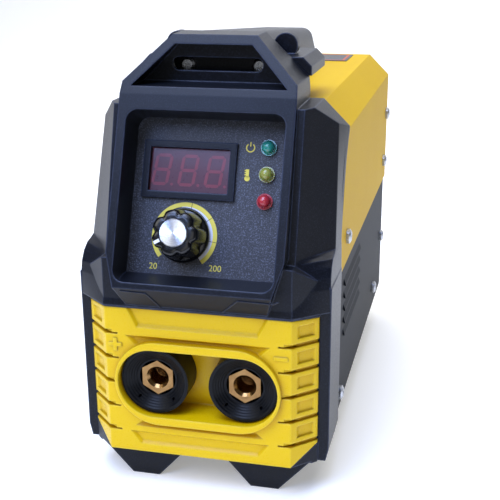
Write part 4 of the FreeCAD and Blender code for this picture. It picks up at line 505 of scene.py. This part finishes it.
def new_tree(name, sizes):
    """An empty geometry tree with a geometry input and named number inputs."""
    tree = bpy.data.node_groups.new(name, "GeometryNodeTree")
    tree.interface.new_socket("Geometry", in_out="INPUT", socket_type="NodeSocketGeometry")
    for label, value in sizes.items():
        kind = "NodeSocketInt" if isinstance(value, int) else "NodeSocketFloat"
        socket = tree.interface.new_socket(label, in_out="INPUT", socket_type=kind)
        socket.default_value = value
    tree.interface.new_socket("Geometry", in_out="OUTPUT", socket_type="NodeSocketGeometry")
    return tree, add(tree, "NodeGroupInput")


def close_tree(tree, geometry, material):
    """End a tree in real geometry with its material."""
    real = add(tree, "GeometryNodeRealizeInstances", {"Geometry": geometry})
    dressed = add(tree, "GeometryNodeSetMaterial", {"Geometry": real, "Material": material})
    add(tree, "NodeGroupOutput", {"Geometry": dressed})


# %% Draw one digit and repeat it
DIGIT_TALL, DIGIT_WIDE, STROKE, DIGIT_PITCH = 16.2 * MM, 9.0 * MM, 1.6 * MM, 13.8 * MM
DIGIT_SLOPE = math.tan(math.radians(8))
BAR_GAP, BAR_THICK = 0.3 * MM, 0.08 * MM
POINT_OUT, POINT_RADIUS = 1.0 * MM, 0.75 * MM
# The row's middle is this far left of the knob's axis and this far up the plate, just behind its face.
ROW_LEFT, ROW_UP, ROW_OUT = 0.8 * MM, 14.55 * MM, -0.5 * MM


def segment(x, y, long, upright):
    """One hexagonal bar of a digit about its middle."""
    half, thick = long / 2, STROKE / 2
    points = [(-half, 0), (-half + thick, thick), (half - thick, thick), (half, 0), (half - thick, -thick),
              (-half + thick, -thick)]
    if upright:
        points = [(-b, a) for a, b in points]
    return [(x + a + (y + b) * DIGIT_SLOPE, y + b) for a, b in points]


reach_x, reach_y = DIGIT_WIDE / 2 - STROKE / 2, DIGIT_TALL / 2 - STROKE / 2
bars = [segment(0, y, reach_x * 2 - BAR_GAP, False) for y in (-reach_y, 0, reach_y)]
bars += [segment(x, y, reach_y - BAR_GAP, True)
         for x in (-reach_x, reach_x) for y in (-reach_y / 2, reach_y / 2)]
bars.append(disc_outline(POINT_RADIUS, 12, DIGIT_WIDE / 2 + POINT_OUT, -reach_y))
digit = flat_mesh("one_digit", bars, BAR_THICK, Matrix())

digits_tree, given = new_tree("row_of_digits", {"Count": 3, "Pitch": 0.01})
step = add(digits_tree, "ShaderNodeCombineXYZ", {"X": given.outputs["Pitch"]})
line = add(digits_tree, "GeometryNodeMeshLine", {"Count": given.outputs["Count"], "Offset": step})
row = add(digits_tree, "GeometryNodeInstanceOnPoints", {
    "Points": line, "Instance": given.outputs["Geometry"]})
close_tree(digits_tree, row.outputs["Instances"], segment_red)
at_digits = AT_PLATE @ Matrix.Translation(Vector((KNOB_X - DIGIT_PITCH - ROW_LEFT, ROW_UP, ROW_OUT)))
segments = finished(
    "meter_segments",
    bake_tree("meter_segments", digit, digits_tree, {"Count": 3, "Pitch": DIGIT_PITCH}, at_digits),
    segment_red)
print("digit segments:", len(segments.data.polygons), "faces")

# %% [markdown]
# ## The lobed knob
# The knob is a disc with a grip on it whose side swells into seven soft lobes for the fingers. A lobe is
# a cosine of the angle round the shaft, so the grip can be a plain cylinder whose points a Geometry
# Nodes tree pushes in. The disc below it and the cap on it are turned on profiles. The CAD knob stays
# for collision.

# %% Shape the knob


def turned(name, profile, count, frame_matrix):
    """A closed solid turned from pairs of a radius and a height, from its lower middle to its upper one."""
    form = bmesh.new()
    rings = []
    for radius, height in profile:
        if radius == 0:
            rings.append([form.verts.new((0, 0, height))])
        else:
            circle = disc_outline(radius, count)
            rings.append([form.verts.new((x, y, height)) for x, y in circle])
    for lower, upper in zip(rings, rings[1:]):
        for k in range(count):
            following = (k + 1) % count
            corners = [lower[k % len(lower)], lower[following % len(lower)],
                       upper[following % len(upper)], upper[k % len(upper)]]
            form.faces.new(list(dict.fromkeys(corners)))
    bmesh.ops.recalc_face_normals(form, faces=form.faces)
    form.transform(frame_matrix)
    mesh = bpy.data.meshes.new(name)
    form.to_mesh(mesh)
    form.free()
    mesh.shade_smooth()
    return mesh


TURN_STEPS = 96
GRIP_OUT, GRIP_LOW, GRIP_TOP, LOBES, LOBE_DEPTH = 12.1 * MM, 3.9 * MM, 18.7 * MM, 7, 0.016
# Between two lobes the side is hollow. The power keeps a hollow narrow and its lobes broad.
LOBE_POWER = 3.0
# The grip narrows by this share over its height. Its top edge is pulled in between two heights, which
# are shares of its whole height, counted from its middle.
GRIP_DRAFT, CROWN_STARTS, CROWN_FULL, CROWN_POWER, CROWN_PULL = 0.1, 0.38, 0.5, 2.0, 0.12

lobes_tree, given = new_tree("lobed_grip", {
    "Lobes": 7, "Radius": 0.01, "Low": 0.0, "Top": 0.02, "Depth": 0.12})
low, top = given.outputs["Low"], given.outputs["Top"]
tall = add(lobes_tree, "ShaderNodeMath", {0: top, 1: low}, operation="SUBTRACT")
drum = add(lobes_tree, "GeometryNodeMeshCylinder", {
    "Vertices": 168, "Side Segments": 24, "Fill Segments": 6,
    "Radius": given.outputs["Radius"], "Depth": tall})
here = add(lobes_tree, "GeometryNodeInputPosition")
spot = add(lobes_tree, "ShaderNodeSeparateXYZ", {"Vector": here}).outputs
angle = add(lobes_tree, "ShaderNodeMath", {0: spot["Y"], 1: spot["X"]}, operation="ARCTAN2")
many = add(lobes_tree, "ShaderNodeMath", {0: angle, 1: given.outputs["Lobes"]}, operation="MULTIPLY")
swell = add(lobes_tree, "ShaderNodeMath", {0: many}, operation="COSINE")
hollow = add(lobes_tree, "ShaderNodeMath", {0: 1.0, 1: swell}, operation="SUBTRACT")
sharper = add(lobes_tree, "ShaderNodeMath", {0: hollow, 1: LOBE_POWER}, operation="POWER")
sunk = add(lobes_tree, "ShaderNodeMath", {0: sharper, 1: given.outputs["Depth"]}, operation="MULTIPLY")
share = add(lobes_tree, "ShaderNodeMath", {0: spot["Z"], 1: tall}, operation="DIVIDE")
draft = add(lobes_tree, "ShaderNodeMath", {0: share, 1: GRIP_DRAFT, 2: sunk}, operation="MULTIPLY_ADD")
crown = add(lobes_tree, "ShaderNodeMapRange", {
    "Value": share, "From Min": CROWN_STARTS, "From Max": CROWN_FULL, "To Min": 0.0, "To Max": 1.0})
crown_round = add(lobes_tree, "ShaderNodeMath", {0: crown, 1: CROWN_POWER}, operation="POWER")
pulled = add(lobes_tree, "ShaderNodeMath", {
    0: crown_round, 1: CROWN_PULL, 2: draft}, operation="MULTIPLY_ADD")
keep = add(lobes_tree, "ShaderNodeMath", {0: 1.0, 1: pulled}, operation="SUBTRACT")
wide_x = add(lobes_tree, "ShaderNodeMath", {0: spot["X"], 1: keep}, operation="MULTIPLY")
wide_y = add(lobes_tree, "ShaderNodeMath", {0: spot["Y"], 1: keep}, operation="MULTIPLY")
both = add(lobes_tree, "ShaderNodeMath", {0: top, 1: low}, operation="ADD")
lift = add(lobes_tree, "ShaderNodeMath", {0: both, 1: 0.5, 2: spot["Z"]}, operation="MULTIPLY_ADD")
target = add(lobes_tree, "ShaderNodeCombineXYZ", {"X": wide_x, "Y": wide_y, "Z": lift})
grip = add(lobes_tree, "GeometryNodeSetPosition", {"Geometry": drum, "Position": target})
close_tree(lobes_tree, grip.outputs["Geometry"], gloss_black)
grip_sizes = {"Lobes": LOBES, "Radius": GRIP_OUT, "Low": GRIP_LOW, "Top": GRIP_TOP, "Depth": LOBE_DEPTH}
grip_mesh = bake_tree("knob_grip", bpy.data.meshes.new("empty"), lobes_tree, grip_sizes, AT_KNOB)
grip_mesh.shade_smooth()
knob_grip = finished("knob_grip", grip_mesh, gloss_black, "knob")
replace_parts(knob_grip, "current_knob")
# Each profile is a list of radii and heights in millimetres.
cap = [(0, 18.4), (6.6, 18.4), (7.0, 18.8), (7.0, 19.5), (6.6, 20.0), (0, 20.0)]
cap_mesh = turned("spun_cap", [(r * MM, h * MM) for r, h in cap], TURN_STEPS, AT_KNOB)
cap_mesh.shade_flat()
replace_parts(finished("spun_cap", cap_mesh, spun, "knob"), "knob_cap")
disc = [(0, 0.7), (12.9, 0.7), (13.5, 1.3), (13.5, 2.6), (13.0, 3.6), (12.2, 4.1), (10.5, 4.2), (0, 4.2)]
disc_mesh = turned("knob_disc", [(r * MM, h * MM) for r, h in disc], TURN_STEPS, AT_KNOB)
finished("knob_disc", disc_mesh, gloss_black, "knob")
print("knob:", len(grip_mesh.polygons), "faces on the grip")

# %% [markdown]
# ## The printed dial
# A yellow band runs round the knob from the low end of the dial to the high end, and a white wedge
# inside it grows with the current. They are screen printed, so they are drawn as very thin plates. The
# fine ticks across the band are repeated along an arc by a Geometry Nodes tree.

# %% Print the dial
PRINT = 0.05 * MM
DIAL_START, DIAL_END, WEDGE_START = 222.0, -52.0, 100.0
BAND_OUT, BAND_IN = 17.0 * MM, 14.8 * MM
WEDGE_THIN, WEDGE_GROWS = 0.2 * MM, 2.6 * MM
TICKS, TICK_FIRST, TICK_STEP, TICK_IN, TICK_LONG, TICK_HALF = 3, -8.0, 44.0, 12.6 * MM, 5.2 * MM, 0.13 * MM


def screen_ink(name, tone, deep, rub_and_highlight_tone):
    """A thin, matt printed ink."""
    return moulded(name, tone, deep, 0.5, 0.5, 0.01, 0.05, rub_and_highlight_tone, 0.2, IOR=1.5)


yellow_ink = screen_ink("yellow_screen_ink", "#e6d65a", "#dccb45", "#f2e58a")
white_print = screen_ink("white_screen_ink", "#dfe2ec", "#d3d7e4", "#ffffff")
dark_print = screen_ink("dark_screen_ink", "#2a2c33", "#22242a", "#3a3c44")


def arc_strip(start, end, inner, outer, count):
    """Quads between an inner and an outer radius, each given as a function of the way round."""
    shapes = []
    for k in range(count):
        ends = []
        for share in (k / count, (k + 1) / count):
            angle = math.radians(start + (end - start) * share)
            ends.append((share, math.cos(angle), math.sin(angle)))
        (s0, c0, d0), (s1, c1, d1) = ends
        shapes.append([
            (inner(s0) * c0, inner(s0) * d0), (outer(s0) * c0, outer(s0) * d0),
            (outer(s1) * c1, outer(s1) * d1), (inner(s1) * c1, inner(s1) * d1)])
    return shapes


band = arc_strip(DIAL_START, DIAL_END, lambda s: BAND_IN, lambda s: BAND_OUT, 72)
wedge = arc_strip(
    WEDGE_START, DIAL_END, lambda s: BAND_IN - (WEDGE_THIN + WEDGE_GROWS * s), lambda s: BAND_IN, 48)
finished("dial_band", flat_mesh("dial_band", band, PRINT, AT_KNOB), yellow_ink)
finished("dial_wedge", flat_mesh("dial_wedge", wedge, PRINT, AT_KNOB), white_print)

tick = flat_mesh("one_tick", [rectangle(0, -TICK_HALF, TICK_LONG, TICK_HALF)], PRINT * 1.6, Matrix())
ticks_tree, given = new_tree("ticks_round_the_dial", {
    "Count": 3, "First": 0.0, "Step": 0.5, "Radius": 0.0125})
rays = add(ticks_tree, "GeometryNodeMeshLine", {"Count": given.outputs["Count"], "Offset": (0.0, 0.0, 0.0)})
index = add(ticks_tree, "GeometryNodeInputIndex")
bearing = add(ticks_tree, "ShaderNodeMath", {
    0: index, 1: given.outputs["Step"], 2: given.outputs["First"]}, operation="MULTIPLY_ADD")
spin = add(ticks_tree, "ShaderNodeCombineXYZ", {"Z": bearing})
shift = add(ticks_tree, "ShaderNodeCombineXYZ", {"X": given.outputs["Radius"]})
pushed = add(ticks_tree, "GeometryNodeTransform", {
    "Geometry": given.outputs["Geometry"], "Translation": shift})
around_dial = add(ticks_tree, "GeometryNodeInstanceOnPoints", {
    "Points": rays, "Instance": pushed, "Rotation": spin})
close_tree(ticks_tree, around_dial.outputs["Instances"], dark_print)
tick_sizes = {
    "Count": TICKS, "First": math.radians(TICK_FIRST), "Step": math.radians(TICK_STEP), "Radius": TICK_IN}
ticks_mesh = bake_tree("dial_ticks", tick, ticks_tree, tick_sizes, AT_KNOB)
finished("dial_ticks", ticks_mesh, dark_print)
print("dial printed from", DIAL_START, "to", DIAL_END, "degrees")

# %% [markdown]
# ## Numbers and signs on the plate
# The dial's ends are marked with plain numbers, and a power sign and a warmth sign stand beside their
# lamps. Text is turned into a mesh before it is laid on the plate.


# %% Print numbers and signs
def printed_text(name, words, size, x, up, material):
    """Text turned into a thin mesh, centred at a spot on the plate."""
    curve = bpy.data.curves.new(name, "FONT")
    curve.body = words
    curve.size = size
    curve.align_x = "CENTER"
    curve.align_y = "CENTER"
    curve.extrude = PRINT / 2
    holder = bpy.data.objects.new(name + "_holder", curve)
    bpy.context.scene.collection.objects.link(holder)
    mesh = bpy.data.meshes.new_from_object(holder.evaluated_get(bpy.context.evaluated_depsgraph_get()))
    bpy.data.objects.remove(holder)
    mesh.materials.clear()
    mesh.transform(AT_PLATE @ Matrix.Translation(Vector((x, up, PRINT / 2))))
    return finished(name, mesh, material)


NUMBER_SIZE = 4.4 * MM
printed_text("number_low", "20", NUMBER_SIZE, -26.2 * MM, -34.7 * MM, yellow_ink)
printed_text("number_high", "200", NUMBER_SIZE, 6.0 * MM, -33.9 * MM, yellow_ink)

# The power sign is an open ring with a bar through its gap.
POWER_X, POWER_UP, POWER_IN, POWER_OUT = 19.2 * MM, 27.4 * MM, 1.75 * MM, 2.35 * MM
RING_FROM, RING_TO, BAR_HALF = 125, 415, 0.3 * MM
at_power = AT_PLATE @ Matrix.Translation(Vector((POWER_X, POWER_UP, 0)))
power = arc_strip(RING_FROM, RING_TO, lambda s: POWER_IN, lambda s: POWER_OUT, 28)
power.append(rectangle(-BAR_HALF, 0.6 * MM, BAR_HALF, 2.9 * MM))
finished("power_sign", flat_mesh("power_sign", power, PRINT, at_power), yellow_ink)
# The warmth sign is a thermometer: a stem, a bulb and three marks.
HEAT_X, HEAT_UP, BULB_RADIUS, BULB_UP = 18.6 * MM, 14.0 * MM, 1.4 * MM, -2.0 * MM
STEM_HALF, STEM_LOW, STEM_TOP, MARK_LONG, MARK_TALL = 0.8 * MM, -1.4 * MM, 2.6 * MM, 0.7 * MM, 0.5 * MM
at_heat = AT_PLATE @ Matrix.Translation(Vector((HEAT_X, HEAT_UP, 0)))
heat = [rectangle(-STEM_HALF, STEM_LOW, STEM_HALF, STEM_TOP), disc_outline(BULB_RADIUS, 16, 0.0, BULB_UP)]
heat += [rectangle(-STEM_HALF - MARK_LONG, y * MM, -STEM_HALF, y * MM + MARK_TALL) for y in (-0.4, 0.7, 1.8)]
finished("warmth_sign", flat_mesh("warmth_sign", heat, PRINT, at_heat), yellow_ink)
print("numbers and signs printed")

# %% [markdown]
# ## Threads, an embossed line and a label's border
# Three small things finish the details. Each socket's mouth is cut with a coarse thread, drawn as rings
# that a Geometry Nodes tree repeats down the bore. A raised line runs across the apron under the plate.
# The rating label on the back of the cover has an orange border and no lettering.

# %% Add threads, line and border
MOUTH_Y, MOUTH_RADIUS, THREADS, THREAD_PITCH = -124.25 * MM, 4.5 * MM, 4, 1.5 * MM
THREAD_START, THREAD_WIRE = 1.0 * MM, 0.45 * MM
ring_tree, given = new_tree("thread_rings", {"Count": 4, "Pitch": 0.0015, "Radius": 0.009, "Wire": 0.0003})
hoop = add(ring_tree, "GeometryNodeCurvePrimitiveCircle", {
    "Resolution": 72, "Radius": given.outputs["Radius"]})
wire = add(ring_tree, "GeometryNodeCurvePrimitiveCircle", {
    "Resolution": 8, "Radius": given.outputs["Wire"]})
tube = add(ring_tree, "GeometryNodeCurveToMesh", {"Curve": hoop, "Profile Curve": wire})
down = add(ring_tree, "ShaderNodeCombineXYZ", {"Z": given.outputs["Pitch"]})
stack = add(ring_tree, "GeometryNodeMeshLine", {"Count": given.outputs["Count"], "Offset": down})
hoops = add(ring_tree, "GeometryNodeInstanceOnPoints", {"Points": stack, "Instance": tube})
close_tree(ring_tree, hoops.outputs["Instances"], brass)
into_bore = Matrix.Rotation(math.radians(-90), 4, "X")
ring_sizes = {"Count": THREADS, "Pitch": THREAD_PITCH, "Radius": MOUTH_RADIUS, "Wire": THREAD_WIRE}
for label, side in (("positive", -1), ("negative", 1)):
    at_mouth = Matrix.Translation(Vector((side * SOCKET_X, MOUTH_Y + THREAD_START, SOCKET_Z))) @ into_bore
    mesh = bake_tree("socket_thread_" + label, bpy.data.meshes.new("empty"), ring_tree, ring_sizes, at_mouth)
    finished("socket_thread_" + label, mesh, brass)
print("thread rings in each socket:", THREADS)

APRON_LOW_Y, APRON_LOW_Z, APRON_RUN, APRON_RISE = -140.0 * MM, 98.0 * MM, 10.0 * MM, 14.0 * MM
up_apron = Vector((0, -APRON_RUN, APRON_RISE)).normalized()
apron_turn = Matrix((RIGHT, up_apron, RIGHT.cross(up_apron))).transposed().to_4x4()
at_apron = Matrix.Translation(Vector((0, APRON_LOW_Y, APRON_LOW_Z))) @ apron_turn
BEAD_WIDE, BEAD_TALL = 0.7 * MM, 0.4 * MM


def square_to(way):
    """The direction at a right angle to another one in a flat frame."""
    return Vector((-way.y, way.x)).normalized()


def bead(points):
    """A mitred strip of quads along a line on a flat frame."""
    path = [Vector(point) * MM for point in points]
    sides = []
    for k, spot in enumerate(path):
        steps = [(path[i + 1] - path[i]).normalized() for i in (k - 1, k) if 0 <= i < len(path) - 1]
        normal = square_to(steps[0] + steps[-1])
        reach = BEAD_WIDE / 2 / normal.dot(square_to(steps[0]))
        sides.append((spot + normal * reach, spot - normal * reach))
    return [[a, b, d, c] for (a, b), (c, d) in zip(sides, sides[1:])]


beads = bead([(-36.0, 15.0), (-22.8, 14.4), (-16.8, 0.8)])
beads += bead([(12.0, 0.8), (23.0, 14.2), (40.0, 13.6), (43.0, 16.0)])
finished("apron_bead", flat_mesh("apron_bead", beads, BEAD_TALL, at_apron), black_abs)

orange_ink = screen_ink("orange_screen_ink", "#c9532a", "#b8461f", "#e07a50")
LABEL_HALF, LABEL_FRONT, LABEL_BACK, LABEL_TOP = 40.0 * MM, 86.0 * MM, 120.0 * MM, 193.5 * MM
MARGIN, STRIPE = 2.0 * MM, 1.4 * MM
left, right = -LABEL_HALF + MARGIN, LABEL_HALF - MARGIN
front, back = LABEL_FRONT + MARGIN, LABEL_BACK - MARGIN
border = [
    rectangle(left, front, right, front + STRIPE),
    rectangle(left, back - STRIPE, right, back),
    rectangle(left, front + STRIPE, left + STRIPE, back - STRIPE),
    rectangle(right - STRIPE, front + STRIPE, right, back - STRIPE)]
at_label = Matrix.Translation(Vector((0, 0, LABEL_TOP)))
finished("label_border", flat_mesh("label_border", border, PRINT, at_label), orange_ink)
print("apron line and label border added")

# %% [markdown]
# ## Floor and light
# The machine stands on a plain pale floor that sweeps up into a wall. A wide cool light overhead does
# most of the work, a small cool one at the upper left draws the sheen, and weak white ones fill the left
# and the front. A wide light behind brightens the floor. The world is nearly dark as a light, so that
# the black plastic stays deep, and pale where the camera looks straight at it.

# %% Light the studio
SWEEP_FRONT, SWEEP_WIDE, SWEEP_START, SWEEP_ROUND, SWEEP_TOP, SWEEP_STEPS = -0.6, 4.0, 1.2, 0.9, 3.0, 24
section = [(SWEEP_FRONT, 0.0)]
for k in range(SWEEP_STEPS + 1):
    bend = math.radians(90 * k / SWEEP_STEPS)
    section.append((SWEEP_START + SWEEP_ROUND * math.sin(bend), SWEEP_ROUND * (1 - math.cos(bend))))
section.append((SWEEP_START + SWEEP_ROUND, SWEEP_TOP))
corners = [(x, y, z) for y, z in section for x in (-SWEEP_WIDE, SWEEP_WIDE)]
faces = [(2 * k, 2 * k + 1, 2 * k + 3, 2 * k + 2) for k in range(len(section) - 1)]
floor_mesh = bpy.data.meshes.new("studio_floor")
floor_mesh.from_pydata(corners, [], faces)
floor_mesh.shade_smooth()
floor = bpy.data.objects.new("studio_floor", floor_mesh)
bpy.context.scene.collection.objects.link(floor)
floor_paint = new_finish(
    "pale_floor", Roughness=0.7, Base_Color=tint("#f1f1ef"),
    Emission_Color=tint("#fbfbfb"), Emission_Strength=0.3)[0]
floor_mesh.materials.append(floor_paint)


def soft_light(name, place_at, aim, size, power, tone):
    """A square area light that looks at a point."""
    lamp = bpy.data.lights.new(name, "AREA")
    lamp.shape = "SQUARE"
    lamp.size = size
    lamp.energy = power
    lamp.color = tint(tone)[:3]
    light = bpy.data.objects.new(name, lamp)
    bpy.context.scene.collection.objects.link(light)
    away = Vector(place_at) - Vector(aim)
    facing_aim = away.to_track_quat("Z", "Y").to_matrix().to_4x4()
    light.matrix_world = Matrix.Translation(Vector(place_at)) @ facing_aim


# Each light has a name, a place, a point that it looks at, a size in metres, watts and a colour.
soft_light("key_light", (-0.95, -0.9, 0.95), (0, -0.05, 0.12), 0.6, 4.0, "#fffdf6")
soft_light("fill_light", (0.2, -1.5, 0.45), (0, -0.12, 0.09), 0.9, 2.6, "#ffffff")
soft_light("sheen_light", (-0.38, -1.12, 1.0), (0, -0.1, 0.2), 0.45, 6.5, "#a9c2ff")
soft_light("sky_light", (-0.2, -0.55, 1.35), (0, -0.05, 0.2), 0.8, 22.0, "#bccfff")
soft_light("back_light", (0.0, 0.7, 1.5), (0, 0.2, 0.0), 1.6, 24.0, "#fdfdff")
world = bpy.data.worlds.new("pale_room")
world.use_nodes = True
world.node_tree.nodes.clear()
dim = add(world.node_tree, "ShaderNodeBackground", {"Color": tint("#f6f7fa"), "Strength": 0.12})
pale = add(world.node_tree, "ShaderNodeBackground", {"Color": tint("#fbfbfc"), "Strength": 0.96})
seen = add(world.node_tree, "ShaderNodeLightPath").outputs["Is Camera Ray"]
room = add(world.node_tree, "ShaderNodeMixShader", {0: seen, 1: dim, 2: pale})
add(world.node_tree, "ShaderNodeOutputWorld", {"Surface": room})
bpy.context.scene.world = world
bpy.context.scene.view_settings.view_transform = "Standard"
print("studio lit")
